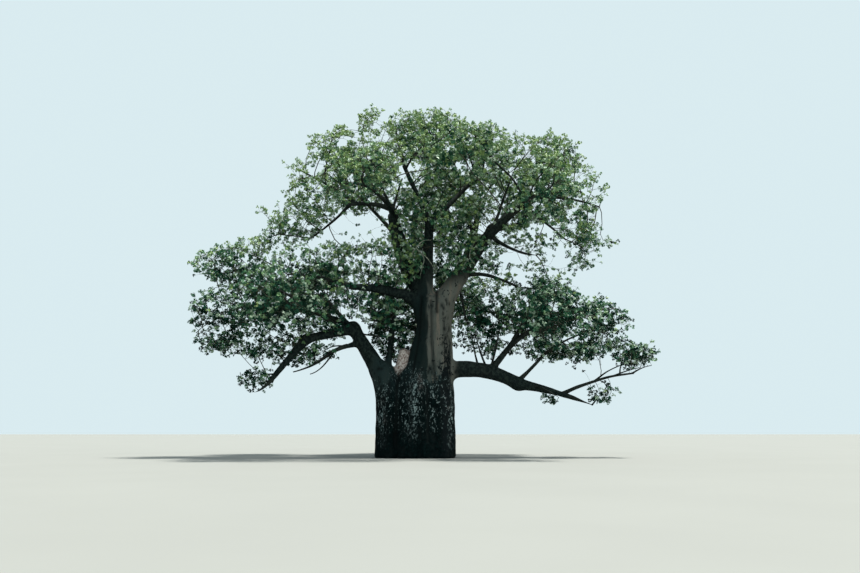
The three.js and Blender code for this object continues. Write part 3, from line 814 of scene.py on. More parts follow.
def skin(value, low, size):
    """A closed quad mesh around the cells where the field is negative."""
    inside = value < 0
    total = np.zeros(tuple(s - 1 for s in value.shape), np.uint8)
    cut = [slice(0, -1), slice(1, None)]
    for i, j, k in CORNERS:
        total += inside[cut[i], cut[j], cut[k]]
    mixed = (total > 0) & (total < 8)
    cells = np.argwhere(mixed)
    ids = np.full(mixed.shape, -1, np.int32)
    ids[mixed] = np.arange(len(cells))
    flat = value.ravel()
    base = np.ravel_multi_index(cells.T, value.shape)
    strides = np.array([value.shape[1] * value.shape[2], value.shape[2], 1])
    corner = [flat[base + int(c @ strides)] for c in CORNERS]
    place, hits = np.zeros((len(cells), 3)), np.zeros(len(cells))
    for a, b in EDGES:
        cross = (corner[a] < 0) != (corner[b] < 0)
        t = corner[a][cross] / (corner[a][cross] - corner[b][cross])
        place[cross] += CORNERS[a] + t[:, None] * (CORNERS[b] - CORNERS[a])
        hits[cross] += 1
    verts = low + size * (cells + place / hits[:, None])
    quads = []
    for axis in range(3):
        one, two = [slice(1, -1)] * 3, [slice(1, -1)] * 3
        one[axis], two[axis] = slice(0, -1), slice(1, None)
        first, second = inside[tuple(one)], inside[tuple(two)]
        for flip, change in ((False, first & ~second), (True, ~first & second)):
            at = np.argwhere(change)
            at += [0 if k == axis else 1 for k in range(3)]
            u, v = [k for k in range(3) if k != axis]
            ring = []
            for du, dv in ((-1, -1), (0, -1), (0, 0), (-1, 0)):
                c = at.copy()
                c[:, u] += du
                c[:, v] += dv
                ring.append(ids[c[:, 0], c[:, 1], c[:, 2]])
            quad = np.stack(ring, 1)
            if flip != (axis == 1):
                quad = quad[:, ::-1]
            quads.append(quad)
    return verts, np.concatenate(quads)


def vertex_normals(verts, quads):
    a, b, c, d = (verts[quads[:, k]] for k in range(4))
    n = np.cross(c - a, d - b)
    out = np.zeros_like(verts)
    for k in range(4):
        np.add.at(out, quads[:, k], n)
    return out / np.maximum(np.linalg.norm(out, axis=1), 1e-9)[:, None]


skin_limbs = []
for row in LIMBS + BRANCHES:
    limb = limbs[row[0]]
    t = np.linspace(0, 1, 101)
    thick = t[limb.radius(t) >= SKIN_LIMIT]
    if len(thick) and thick[-1] * limb.length() > 0.8 and limb.r0 > SKIN_LIMIT + 0.03:
        limb.skin_to = float(thick[-1])
        skin_limbs.append(limb)
    else:
        limb.skin_to = 0.0

reach = np.concatenate([limb.point(np.linspace(0, limb.skin_to, 9)) for limb in skin_limbs])
field = Field(
    [min(reach[:, 0].min(), -2.9) - 0.6, min(reach[:, 1].min(), -2.6) - 0.6, -3 * VOXEL],
    [max(reach[:, 0].max(), 2.9) + 0.6, max(reach[:, 1].max(), 2.6) + 0.6, reach[:, 2].max() + 0.6],
    VOXEL,
)
for i, stations in enumerate(TRUNK_COLUMNS.values()):
    field.column(stations, i * 1.7, 0.16)
for limb in skin_limbs:
    field.limb(limb, limb.skin_to, 0.12 + 0.35 * limb.r0)
z_axis = field.low[2] + VOXEL * np.arange(field.shape[2])
np.maximum(field.value, -z_axis[None, None, :].astype(np.float32), out=field.value)
skin_verts, skin_quads = skin(field.value, field.low, VOXEL)
del field

# ---- how far each vertex lies from the trunk's columns

column_gap = np.full(len(skin_verts), 9.0)
for stations in TRUNK_COLUMNS.values():
    top = stations[-1][0] / 1000
    cx, cy, a, b = between(stations, np.clip(skin_verts[:, 2], 0, top))
    dx, dy = skin_verts[:, 0] - cx, skin_verts[:, 1] - cy
    r = np.maximum(np.hypot(dx, dy), 1e-6)
    d = r - 1 / np.sqrt((dx / r / a) ** 2 + (dy / r / b) ** 2)
    column_gap = np.minimum(column_gap, np.maximum(d, skin_verts[:, 2] - top))

# ---- relief: folds, lumps, scars

normals = vertex_normals(skin_verts, skin_quads)
low_trunk = smoothstep(6.4, 4.4, skin_verts[:, 2]) * smoothstep(3.6, 2.7, np.abs(skin_verts[:, 0]))
on_column = smoothstep(10.6, 9.6, skin_verts[:, 2]) * smoothstep(3.6, 2.7, np.abs(skin_verts[:, 0]))
folds = fractal(skin_verts, (1.5, 1.5, 0.28), 41, 2)
lumps = fractal(skin_verts, (2.6, 2.6, 1.5), 42, 2)
grain = fractal(skin_verts, (7, 7, 3.2), 43, 2)
wrinkles = noise(skin_verts, (1.6, 1.6, 8.5), 44)
amount = 0.028 + 0.05 * low_trunk
relief = amount * folds + (0.018 + 0.022 * low_trunk) * lumps + 0.010 * grain
relief += 0.008 * wrinkles * (1 - low_trunk) * on_column

scar_rng = np.random.default_rng(77)
scar_and_crease_shade = np.zeros(len(skin_verts))


def add_scars(places, count, size, low, high):
    for index in scar_rng.choice(places, min(count, len(places)), replace=False):
        c = skin_verts[index]
        half = np.array(size) * scar_rng.uniform(low, high)
        near = np.nonzero(np.all(np.abs(skin_verts - c) < half * 3, 1))[0]
        q = ((skin_verts[near] - c) / half) ** 2
        scar_and_crease_shade[near] = np.maximum(scar_and_crease_shade[near], np.exp(-q.sum(1) * 0.8))


upright = np.abs(normals[:, 2]) < 0.5
add_scars(np.nonzero((low_trunk > 0.5) & upright)[0], 420, (0.06, 0.06, 0.13), 0.5, 1.6)
skin_px = to_pixels(skin_verts)
facing = (normals[:, 1] < -0.25) & (skin_verts[:, 1] < 0.6)
row_of_holes = (np.abs(skin_px[:, 0] - 446) < 4) & facing & (skin_px[:, 1] > 300) & (skin_px[:, 1] < 400)
add_scars(np.nonzero(row_of_holes)[0], 46, (0.07, 0.07, 0.12), 0.7, 1.5)

# Long creases: some seen from the front, in pixels, the others round the trunk.
CREASES = [
    (398, 374, 396, 410, 1.0), (396, 410, 395, 446, 1.0), (427, 386, 428, 442, 0.9),
    (421, 296, 418, 340, 0.8), (418, 340, 411, 378, 0.8), (431, 300, 432, 345, 0.7),
    (432, 345, 436, 388, 0.7), (436, 280, 437, 312, 0.9), (443, 372, 441, 425, 0.6),
    (384, 392, 386, 440, 0.6), (409, 384, 412, 436, 0.6), (444, 318, 446, 372, 0.5),
]
crease = np.zeros(len(skin_verts))
for x0, y0, x1, y1, strength in CREASES:
    ab = np.array([x1 - x0, y1 - y0], float)
    t = np.clip(((skin_px - (x0, y0)) @ ab) / (ab @ ab), 0, 1)
    d = np.linalg.norm(skin_px - (x0, y0) - t[:, None] * ab, axis=1)
    crease = np.maximum(crease, strength * np.exp(-((d / 1.5) ** 2)) * facing)
around = np.arctan2(skin_verts[:, 1], skin_verts[:, 0] - 0.2)
away = np.hypot(skin_verts[:, 0] - 0.2, skin_verts[:, 1])
for k in range(17):
    angle = scar_rng.uniform(-0.15, math.pi + 0.15)
    bottom, top = scar_rng.uniform(0, 2.5), scar_rng.uniform(4.0, 9.0)
    wobble = 0.07 * np.sin(skin_verts[:, 2] * 1.1 + k) + 0.03 * np.sin(skin_verts[:, 2] * 2.7 + 2 * k)
    d = (around - angle - wobble) * away
    length = smoothstep(bottom - 0.6, bottom + 0.4, skin_verts[:, 2]) * smoothstep(top + 0.8, top - 0.6, skin_verts[:, 2])
    crease = np.maximum(crease, 0.85 * np.exp(-((d / 0.085) ** 2)) * length * on_column)
relief -= 0.045 * scar_and_crease_shade + 0.10 * crease

# Pale ribs low on the trunk, in the bark's colour only: some seen from the front, in pixels, others all round.
RIBS = [
    (416, 378, 411, 436, 7.0, 1.0), (447, 386, 449, 444, 5.5, 1.0), (384, 390, 382, 444, 4.5, 0.85),
    (403, 400, 404, 440, 2.5, 0.35), (433, 392, 434, 430, 3.0, 0.4),
]
front = smoothstep(0.15, -0.3, normals[:, 1])
front_ribs = np.zeros(len(skin_verts))
for x0, y0, x1, y1, wide, strength in RIBS:
    ab = np.array([x1 - x0, y1 - y0], float)
    t = np.clip(((skin_px - (x0, y0)) @ ab) / (ab @ ab), 0, 1)
    d = np.linalg.norm(skin_px - (x0, y0) - t[:, None] * ab, axis=1)
    front_ribs = np.maximum(front_ribs, strength * np.exp(-((d / wide) ** 2)))
round_ribs = smoothstep(-0.2, 0.35, fractal(skin_verts, (1.5, 1.5, 0.14), 51, 2))
ribs = front * front_ribs + (1 - front) * round_ribs

# Where dark specks climb the smooth bark, in a stripe seen from the front and in others behind.
climb = 441 + 5 * smoothstep(300, 350, skin_px[:, 1])
front_stripe = np.exp(-(((skin_px[:, 0] - climb) / 5.0) ** 2)) * smoothstep(312, 372, skin_px[:, 1])
back_stripe = smoothstep(0.25, 0.6, fractal(skin_verts, (1.2, 1.2, 0.1), 52, 2))
back_stripe = back_stripe * smoothstep(9.5, 5.5, skin_verts[:, 2])
specks = (front * front_stripe + (1 - front) * back_stripe) * on_column

# The stub in the cleft has pale, flaking bark.
stub = limbs["cleft_stub"]
line = stub.point(np.linspace(0.1, 1, 12))
stub_gap = np.full(len(skin_verts), 9.0)
for point, thick in zip(line, stub.radius(np.linspace(0.1, 1, 12))):
    stub_gap = np.minimum(stub_gap, np.linalg.norm(skin_verts - point, axis=1) - thick)
stub_bark = smoothstep(0.22, 0.05, stub_gap) * smoothstep(4.9, 5.5, skin_verts[:, 2])
# Painted shade: the creases are darkened in the colour as well, kept with the scars.
scar_and_crease_shade = np.maximum(scar_and_crease_shade, np.minimum(1.15 * crease, 1.0))

# The edge of the smooth bark lies lower in front and on the right flank.
dips = 0.34 * np.exp(-(((skin_px[:, 0] - 430) / 8) ** 2)) + 0.45 * np.exp(-(((skin_px[:, 0] - 453) / 5) ** 2))
dips -= 0.22 * np.exp(-(((skin_px[:, 0] - 409) / 7) ** 2)) - 0.45 * smoothstep(393, 385, skin_px[:, 0])
edge_shift = 0.5 + 0.5 * (front * dips + (1 - front) * 0.5 * fractal(skin_verts, (0.8, 0.8, 0.2), 53, 2))
foot = smoothstep(0.0, 0.12, skin_verts[:, 2])
skin_verts = skin_verts + normals * (relief * np.maximum(foot, 0.3))[:, None]
skin_verts[:, 2] = np.maximum(skin_verts[:, 2], 0.0)

# ------------------------------------------------------------------------ tubes


def tubes(chains, sides, cap=True):
    """Closed tubes round chains of (points, radii), all with the same number of sides."""
    verts, quads, ends, offset = [], [], [], 0
    turn = 2 * math.pi * np.arange(sides) / sides
    cos, sin = np.cos(turn)[None, :, None], np.sin(turn)[None, :, None]
    for points, radii in chains:
        tangent = np.gradient(points, axis=0)
        tangent /= np.maximum(np.linalg.norm(tangent, axis=1), 1e-9)[:, None]
        mean = np.abs(tangent.mean(0))
        ref = np.zeros(3)
        ref[int(mean.argmin())] = 1
        u = np.cross(tangent, ref)
        u /= np.maximum(np.linalg.norm(u, axis=1), 1e-9)[:, None]
        v = np.cross(tangent, u)
        r = radii[:, None, None]
        ring = points[:, None, :] + r * (cos * u[:, None, :] + sin * v[:, None, :])
        n = len(points)
        verts.append(ring.reshape(-1, 3))
        base = offset + sides * np.arange(n - 1)[:, None] + np.arange(sides)[None]
        after = offset + sides * np.arange(n - 1)[:, None] + (np.arange(sides)[None] + 1) % sides
        quads.append(np.stack([base, after, after + sides, base + sides], 2).reshape(-1, 4))
        first = offset + np.arange(sides)
        ends.append(first[::-1])
        ends.append(first + sides * (n - 1))
        offset += sides * n
    caps = np.array(ends)
    faces = [np.concatenate(quads)] + ([caps] if cap else [])
    return np.concatenate(verts), faces


def resample(points, radii, spacing):
    """A smooth curve through the points, at about the given spacing."""
    n = len(points)
    if n < 3:
        return points, radii
    length = np.linalg.norm(np.diff(points, axis=0), axis=1)
    s = np.concatenate([[0], np.cumsum(length)])
    count = max(2, int(round(s[-1] / spacing)))
    at = np.linspace(0, s[-1], count + 1)
    m = np.gradient(points, s, axis=0)
    i = np.clip(np.searchsorted(s, at, side="right") - 1, 0, n - 2)
    w = (s[i + 1] - s[i])[:, None]
    t = ((at - s[i]) / (s[i + 1] - s[i]))[:, None]
    curve = (
        (2 * t**3 - 3 * t**2 + 1) * points[i] + (t**3 - 2 * t**2 + t) * w * m[i]
        + (-2 * t**3 + 3 * t**2) * points[i + 1] + (t**3 - t**2) * w * m[i + 1]
    )
    return curve, np.interp(at, s, radii)


bark_chains, branch_chains, twig_chains, spikes = [], [], [], []
for row in LIMBS + BRANCHES:
    limb = limbs[row[0]]
    if limb.skin_to >= 0.995:
        continue
    t0 = max(0.0, limb.skin_to - 0.12) if limb.skin_to else 0.0
    n = max(4, int(limb.length() * (1 - t0) / 0.16))
    t = np.linspace(t0, 1, n + 1)
    points, radii = limb.point(t), limb.radius(t)
    travelled = t * limb.length()
    if limb.skin_to:
        radii = radii * smoothstep(-0.3, 0.12, t - t0) ** 0.3
    else:
        radii = radii * (1 + 0.35 * np.exp(-travelled / (2 * limb.r0 + 0.1)))
    wander = np.stack([noise(points, (0.9, 0.9, 0.9), 60 + k) for k in range(3)], 1)
    points = points + wander * (0.35 * radii * smoothstep(0, 1.0, travelled - t0))[:, None]
    radii = radii * (1 + 0.10 * noise(points, (2.4, 2.4, 2.4), 66))
    if limb.name in ("lower_right_end", "lower_right_drop", "left_bough_end", "right_mid_branch"):
        radii = radii * (1 - 0.7 * smoothstep(0.75, 1.0, t))
    bark_chains.append((points, radii))

started = np.zeros(count, bool)
for i in range(1, count):
    if kind[i] >= -2 or started[i] or not alive[i]:
        continue
    if kind[parent[i]] < -2 and main[parent[i]] == i:
        continue
    if kind[i] == -5:
        spikes.append(i)
        continue
    chain, j = [parent[i], i], i
    started[i] = True
    while main[j] >= 0:
        j = main[j]
        started[j] = True
        chain.append(j)
    points = pos[chain]
    radii = radius[chain].copy()
    radii[0] = min(radius[chain[0]] * 0.8, radius[i] * 1.25)
    radii[-1] = radii[-1] * 0.55
    if kind[parent[i]] < -2:
        # A side shoot leaves from inside its parent's tube.
        radii[0] = min(radius[parent[i]] * 0.9, radius[i] * 1.2)
    if radii[1] > 0.045:
        points, radii = resample(points, radii, 0.19)
        branch_chains.append((points, radii))
    else:
        if len(points) > 4:
            kept = [0, 1, *range(3, len(points) - 1, 2), len(points) - 1]
            points, radii = points[kept], radii[kept]
        twig_chains.append((points, radii))


def spike_mesh(chosen):
    """Three-sided spikes from the twigs to the tips of the short shoots."""
    tip, root = pos[chosen], pos[parent[chosen]]
    way = tip - root
    way /= np.linalg.norm(way, axis=1)[:, None]
    side = np.cross(way, np.array([0.31, 0.52, 0.79]))
    side /= np.linalg.norm(side, axis=1)[:, None]
    over = np.cross(way, side)
    corner = []
    for k in range(3):
        a = 2 * math.pi * k / 3
        corner.append(root + 0.011 * (math.cos(a) * side + math.sin(a) * over))
    verts = np.stack(corner + [tip + 0.01 * way], 1).reshape(-1, 3)
    first = 4 * np.arange(len(chosen))[:, None]
    faces = [first + np.array([[a, b, c]]) for a, b, c in ((0, 1, 3), (1, 2, 3), (2, 0, 3), (0, 2, 1))]
    return verts, np.concatenate(faces)


# ----------------------------------------------------------------------- leaves

LEAVES, LEAFLETS = 4, 5
LEAF_SIZE = 0.78               # of a full-grown leaf


def rosette(rng):
    """A spray of palmate leaves round a shoot's tip, growing along +Z."""
    verts, faces = [], []
    spin = rng.uniform(0, 6.283)
    for j in range(LEAVES):
        around = spin + 1.571 * j + rng.normal(0, 0.25)
        lift = math.radians(rng.uniform(-8, 22) + (30 if j % 2 else 0))
        out = np.array([math.cos(around), math.sin(around), 0])
        stalk = out * math.cos(lift) + np.array([0, 0, math.sin(lift)])
        hub = stalk * rng.uniform(0.05, 0.13)
        face = np.array([0, 0, 0.7]) + out * rng.uniform(0.2, 1.1) + rng.normal(0, 0.45, 3)
        face /= np.linalg.norm(face)
        ahead = stalk - face * (stalk @ face)
        ahead /= np.linalg.norm(ahead)
        side = np.cross(face, ahead)
        size = rng.uniform(0.85, 1.12)
        for k in range(LEAFLETS):
            turn = math.radians(-84 + 42 * k + rng.normal(0, 4))
            way = ahead * math.cos(turn) + side * math.sin(turn)
            across = np.cross(face, way)
            length = 0.155 * size * (1 - 0.10 * abs(k - 2)) * rng.uniform(0.92, 1.08)
            width = 0.036 * size
            droop = rng.uniform(0.12, 0.38)
            # The middle leaflet's blade narrows into the leaf's stalk.
            root = hub * 0.05 if k == 2 else hub
            middle = hub + way * length * 0.58 - face * length * droop * 0.35
            tip = hub + way * length * 0.99 - face * length * droop
            base = len(verts)
            verts += [root, middle + across * width + face * 0.008, tip, middle - across * width + face * 0.008]
            faces += [(base, base + 3, base + 2), (base, base + 2, base + 1)]
    return np.array(verts) * LEAF_SIZE, np.array(faces)


leaf_rng = np.random.default_rng(314)
ROSETTES = [rosette(leaf_rng) for _ in range(10)]
TRIS_EACH = len(ROSETTES[0][1])

tip_pos = pos[tips]
tip_dir = pos[tips] - pos[parent[tips]]
tip_dir /= np.maximum(np.linalg.norm(tip_dir, axis=1), 1e-9)[:, None]

# How much light each spray gets: more towards the top and the outside of its mass.
exposure = np.zeros(len(tips))
depth = np.full(len(tips), -1.0)
height_share = np.zeros(len(tips))
for name, tree, low, high in MASSES:
    close = np.nonzero(np.all((tip_pos > low - 0.5) & (tip_pos < high + 0.5), 1))[0]
    if not len(close):
        continue
    d = depth_inside(tree, tip_pos[close])
    better = d > depth[close]
    depth[close[better]] = d[better]
    share = (tip_pos[close, 2] - low[2]) / (high[2] - low[2])
    height_share[close[better]] = share[better]
exposure = 0.45 * height_share + 0.50 * smoothstep(1.1, 0.0, depth) + 1.80 * (tip_pos[:, 2] / 22.0)
exposure += 0.16 * smoothstep(3.5, 8.5, np.abs(tip_pos[:, 0] - 1)) * smoothstep(11.5, 13.5, tip_pos[:, 2])
exposure += 0.09 * smoothstep(-1.0, -4.0, tip_pos[:, 0]) * smoothstep(9.5, 12.5, tip_pos[:, 2])
exposure += leaf_rng.normal(0, 0.42, len(tips)) + 0.12 * noise(tip_pos, (0.5, 0.5, 0.5), 8)

# Loose sprays behind the tree are painted darker and those in front lighter.
exposure += np.where(depth < -0.3, np.where(tip_pos[:, 1] > 0.2, -0.16, 0.06), 0.0)
# Sprays deep in a mass are somewhat larger, as fewer of them grow there.
tip_size = 1 + 0.3 * smoothstep(0.5, 1.1, depth) + 0.08 * smoothstep(12.5, 10.5, tip_pos[:, 2])

# Lit and shaded copies of one leaf green, dealt out by each spray's light: painted light and shade, with a random
# spread besides.
GREENS = [
    ("leaves_sunlit", (0.192, 0.302, 0.090), "foliage_light", 0.50),
    ("leaves_half_sunlit", (0.116, 0.226, 0.092), "foliage_light", 0.45),
    ("leaves_green", (0.047, 0.143, 0.064), "foliage_mid", 0.30),
    ("leaves_half_shaded", (0.010, 0.064, 0.036), "foliage_mid", 0.12),
    ("leaves_shaded", (0.003, 0.023, 0.013), "foliage_dark", 0.05),
    ("leaves_painted_highlight", (0.320, 0.440, 0.315), "foliage_light", 0.70),
]
cuts = np.quantile(exposure, [0.775, 0.565, 0.355, 0.165])
tone = np.full(len(tips), 4)
for k, cut in enumerate(cuts[::-1]):
    tone[exposure > cut] = 3 - k
# Some sprays get a pale grey-green: painted highlights for the sheen of glossy leaves.
tone[(leaf_rng.random(len(tips)) < 0.16) & (depth < 0.9)] = 5


def leaf_piece_mesh(chosen, rng):
    verts, faces, offset = [], [], 0
    variant = rng.integers(0, len(ROSETTES), len(chosen))
    for v, (shape, tris) in enumerate(ROSETTES):
        which = chosen[variant == v]
        if not len(which):
            continue
        n = len(which)
        axis = tip_dir[which] * 0.45 + np.array([0, 0, 1.0]) * 0.75 + rng.normal(0, 0.16, (n, 3))
        axis /= np.linalg.norm(axis, axis=1)[:, None]
        side = np.cross(axis, rng.normal(0, 1, (n, 3)))
        side /= np.linalg.norm(side, axis=1)[:, None]
        over = np.cross(axis, side)
        size = rng.uniform(0.82, 1.15, (n, 1, 1)) * tip_size[which][:, None, None]
        frames = np.stack([side, over, axis], 1)
        placed = np.einsum("vk,nkc->nvc", shape, frames) * size + tip_pos[which][:, None]
        verts.append(placed.reshape(-1, 3))
        index = tris[None] + (len(shape) * np.arange(n))[:, None, None] + offset
        faces.append(index.reshape(-1, 3))
        offset += n * len(shape)
    return np.concatenate(verts), [np.concatenate(faces)]


# --------------------------------------------------------------------- materials


class Shader:
    """A node material under construction."""

    def __init__(self, name, roughness=0.8, specular=0.3):
        self.material = bpy.data.materials.new(name)
        self.material.use_nodes = True
        self.tree = self.material.node_tree
        self.main = self.tree.nodes["Principled BSDF"]
        self.main.inputs["Roughness"].default_value = roughness
        self.main.inputs["Specular IOR Level"].default_value = specular
        self.coords = self.tree.nodes.new("ShaderNodeTexCoord").outputs["Object"]

    def node(self, kind, **values):
        made = self.tree.nodes.new(kind)
        for key, value in values.items():
            setattr(made, key, value)
        return made

    def link(self, a, b):
        self.tree.links.new(a, b)

    def noise(self, scale, stretch=(1, 1, 1), detail=3.0, rough=0.55, distortion=0.0):
        mapping = self.node("ShaderNodeMapping")
        mapping.inputs["Scale"].default_value = stretch
        self.link(self.coords, mapping.inputs["Vector"])
        made = self.node("ShaderNodeTexNoise")
        made.inputs["Scale"].default_value = scale
        made.inputs["Detail"].default_value = detail
        made.inputs["Roughness"].default_value = rough
        made.inputs["Distortion"].default_value = distortion
        self.link(mapping.outputs["Vector"], made.inputs["Vector"])
        return made.outputs["Fac"]

    def cells(self, scale, stretch=(1, 1, 1), feature="F1"):
        mapping = self.node("ShaderNodeMapping")
        mapping.inputs["Scale"].default_value = stretch
        self.link(self.coords, mapping.inputs["Vector"])
        made = self.node("ShaderNodeTexVoronoi", feature=feature)
        made.inputs["Scale"].default_value = scale
        self.link(mapping.outputs["Vector"], made.inputs["Vector"])
        return made.outputs["Distance"]

    def remap(self, value, low, high, to_low=0.0, to_high=1.0):
        made = self.node("ShaderNodeMapRange", interpolation_type="SMOOTHSTEP")
        made.inputs["From Min"].default_value = low
        made.inputs["From Max"].default_value = high
        made.inputs["To Min"].default_value = to_low
        made.inputs["To Max"].default_value = to_high
        self.link(value, made.inputs["Value"])
        return made.outputs["Result"]

    def math(self, operation, a, b=None):
        made = self.node("ShaderNodeMath", operation=operation)
        for socket, value in zip(made.inputs, (a, b)):
            if value is None:
                continue
            if isinstance(value, (int, float)):
                socket.default_value = value
            else:
                self.link(value, socket)
        return made.outputs[0]

    def mix(self, share, a, b):
        made = self.node("ShaderNodeMix", data_type="RGBA")
        if isinstance(share, (int, float)):
            made.inputs["Factor"].default_value = share
        else:
            self.link(share, made.inputs["Factor"])
        for index, value in ((6, a), (7, b)):
            if isinstance(value, tuple):
                made.inputs[index].default_value = (*value, 1)
            else:
                self.link(value, made.inputs[index])
        return made.outputs[2]

    def height(self, low, high):
        split = self.node("ShaderNodeSeparateXYZ")
        self.link(self.coords, split.inputs[0])
        return self.remap(split.outputs["Z"], low, high)

    def straight(self, axis, low, high):
        """A value that rises evenly, beyond 0 and 1 too, along an axis."""
        split = self.node("ShaderNodeSeparateXYZ")
        self.link(self.coords, split.inputs[0])
        made = self.node("ShaderNodeMapRange", clamp=False)
        made.inputs["From Min"].default_value = low
        made.inputs["From Max"].default_value = high
        self.link(split.outputs[axis], made.inputs["Value"])
        return made.outputs["Result"]

    def attribute(self, name):
        made = self.node("ShaderNodeAttribute", attribute_name=name)
        return made.outputs["Fac"]

    def finish(self, colour, bump=None, distance=0.02, strength=0.6, roughness=None):
        self.link(colour, self.main.inputs["Base Color"])
        if bump is not None:
            made = self.node("ShaderNodeBump")
            made.inputs["Distance"].default_value = distance
            made.inputs["Strength"].default_value = strength
            self.link(bump, made.inputs["Height"])
            self.link(made.outputs["Normal"], self.main.inputs["Normal"])
        if roughness is not None:
            self.link(roughness, self.main.inputs["Roughness"])
        return self.material


def trunk_material():
    s = Shader("bark_skin", 0.92, 0.03)
    broad = s.noise(0.8, (1, 1, 0.4), 4, 0.6)
    streak = s.noise(2.6, (1, 1, 0.13), 5, 0.6, 0.25)
    blotch = s.noise(7.2, (1, 1, 0.6), 4, 0.66, 0.5)
    speck = s.noise(12.0, (1, 1, 0.65), 3, 0.6)
    clump = s.noise(3.6, (1, 1, 0.8), 3, 0.6, 0.3)
    # Smooth bark of the upper column, with painted light and painted shade in its colour.
    smooth = s.mix(s.remap(broad, 0.36, 0.62), (0.034, 0.047, 0.043), (0.101, 0.105, 0.091))
    # Painted light: the bark grows lighter towards the right side, where the sun falls.
    smooth = s.mix(s.remap(s.straight("X", 0.9, 1.8), 0, 1, 0, 0.75), smooth, (0.130, 0.134, 0.115))
    smooth = s.mix(s.remap(streak, 0.52, 0.68, 0, 0.7), smooth, (0.165, 0.138, 0.110))
    smooth = s.mix(s.remap(streak, 0.45, 0.36, 0, 0.8), smooth, (0.014, 0.021, 0.021))
    smooth = s.mix(s.remap(speck, 0.56, 0.76, 0, 0.4), smooth, (0.034, 0.034, 0.032))
    # Painted shade down the left side of the column, a little lighter on the left stem.
    warped = s.math("MULTIPLY", s.math("SUBTRACT", streak, 0.5), 1.6)
    shaded_side = s.math("ADD", s.straight("X", 0.95, 0.45), warped)
    shade = s.mix(s.remap(s.straight("X", -0.9, -1.5), 0, 1), (0.0065, 0.0145, 0.0145), (0.014, 0.027, 0.027))
    smooth = s.mix(s.remap(shaded_side, 0.35, 0.65, 0, 0.94), smooth, shade)
    # Rough bark below, with pale specks on the ribs.
    ribs = s.attribute("ribs")
    raised = s.math("SUBTRACT", blotch, s.remap(s.straight("Z", 2.8, 4.8), 0, 1, 0, 0.028))
    lifted = s.math("SUBTRACT", raised, s.math("MULTIPLY", s.math("SUBTRACT", ribs, 0.42), 0.11))
    light = s.mix(s.remap(speck, 0.42, 0.60), (0.010, 0.022, 0.023), (0.205, 0.265, 0.260))
    light = s.mix(s.remap(broad, 0.55, 0.66, 0, 0.6), light, (0.052, 0.036, 0.032))
    dark = s.mix(s.remap(speck, 0.4, 0.7), (0.0006, 0.003, 0.0032), (0.003, 0.0095, 0.0095))
    dark = s.mix(s.height(3.2, 5.2), dark, (0.009, 0.018, 0.019))
    low = s.mix(s.remap(lifted, 0.42, 0.47), light, dark)
    # Painted shade: the rough bark darkens towards the ground, less on the pale ribs.
    low = s.mix(s.math("MULTIPLY", s.height(2.7, 0.9), s.math("SUBTRACT", 1.0, s.math("MULTIPLY", ribs, 0.45))), low, dark)
    uneven = s.math("ADD", s.math("SUBTRACT", blotch, 0.5), s.math("SUBTRACT", clump, 0.5))
    edge = s.math("ADD", s.straight("Z", 4.2, 6.0), s.math("MULTIPLY", uneven, 1.2))
    edge = s.math("ADD", edge, s.math("MULTIPLY", s.math("SUBTRACT", s.attribute("edge"), 0.5), 2.0))
    colour = s.mix(s.remap(edge, 0.42, 0.58), low, smooth)
    climbing = s.math("ADD", s.math("MULTIPLY", blotch, 0.55), s.math("MULTIPLY", clump, 0.45))
    climbing = s.math("ADD", s.math("MULTIPLY", s.attribute("specks"), 0.17), climbing)
    colour = s.mix(s.remap(climbing, 0.585, 0.615), colour, (0.005, 0.008, 0.009))
    # Dark scars, and painted shade darkening the creases.
    colour = s.mix(s.math("MULTIPLY", s.attribute("scar_and_crease_shade"), 0.9), colour, (0.006, 0.009, 0.009))
    flake = s.mix(s.remap(speck, 0.40, 0.60), (0.200, 0.140, 0.120), (0.56, 0.50, 0.46))
    colour = s.mix(s.attribute("stub"), colour, flake)
    # Painted shade: the boughs' bark is near black, for the shade they lie in under the crown.
    bough = s.mix(s.remap(blotch, 0.4, 0.62), (0.005, 0.009, 0.0095), (0.020, 0.030, 0.026))
    colour = s.mix(s.attribute("bough"), colour, bough)
    grain = s.noise(26, (1, 1, 0.35), 5, 0.65)
    bump = s.math("ADD", s.math("MULTIPLY", grain, 0.5), s.math("MULTIPLY", blotch, 0.8))
    return s.finish(colour, bump, 0.035, 0.7, s.remap(speck, 0.2, 0.8, 0.8, 0.97))


def bough_material(name, dark, light, scale):
    s = Shader(name, 0.9, 0.08)
    patch = s.noise(scale, (1, 1, 1), 5, 0.65, 0.3)
    fine = s.noise(scale * 7, (1, 1, 1), 4, 0.6)
    colour = s.mix(s.remap(patch, 0.35, 0.68), dark, light)
    colour = s.mix(s.remap(fine, 0.5, 0.8, 0, 0.5), colour, tuple(c * 0.5 for c in dark))
    bump = s.math("ADD", patch, s.math("MULTIPLY", fine, 0.6))
    return s.finish(colour, bump, 0.02, 0.6, s.remap(fine, 0.2, 0.8, 0.75, 0.95))


def leaf_material(name, colour, gloss):
    s = Shader(name, 0.45, gloss)
    s.main.inputs["Base Color"].default_value = (*colour, 1)
    vein = s.noise(30, (1, 1, 1), 2, 0.5)
    bump = s.node("ShaderNodeBump")
    bump.inputs["Distance"].default_value = 0.004
    bump.inputs["Strength"].default_value = 0.35
    s.link(vein, bump.inputs["Height"])
    s.link(bump.outputs["Normal"], s.main.inputs["Normal"])
    s.link(s.remap(vein, 0.3, 0.7, 0.36, 0.54), s.main.inputs["Roughness"])
    return s.material


# ------------------------------------------------------------------------ pieces

SLOTS = {s["node"]: s["material_slot"] for s in frame["record"]["subparts"]}
bark_nodes = [n for n in SLOTS if SLOTS[n].startswith("bark")]
leaf_nodes = [n for n in SLOTS if SLOTS[n].startswith("foliage")]

piece = make_piece("bark_of_trunk_and_boughs", skin_verts, [skin_quads], trunk_material(), bark_nodes)
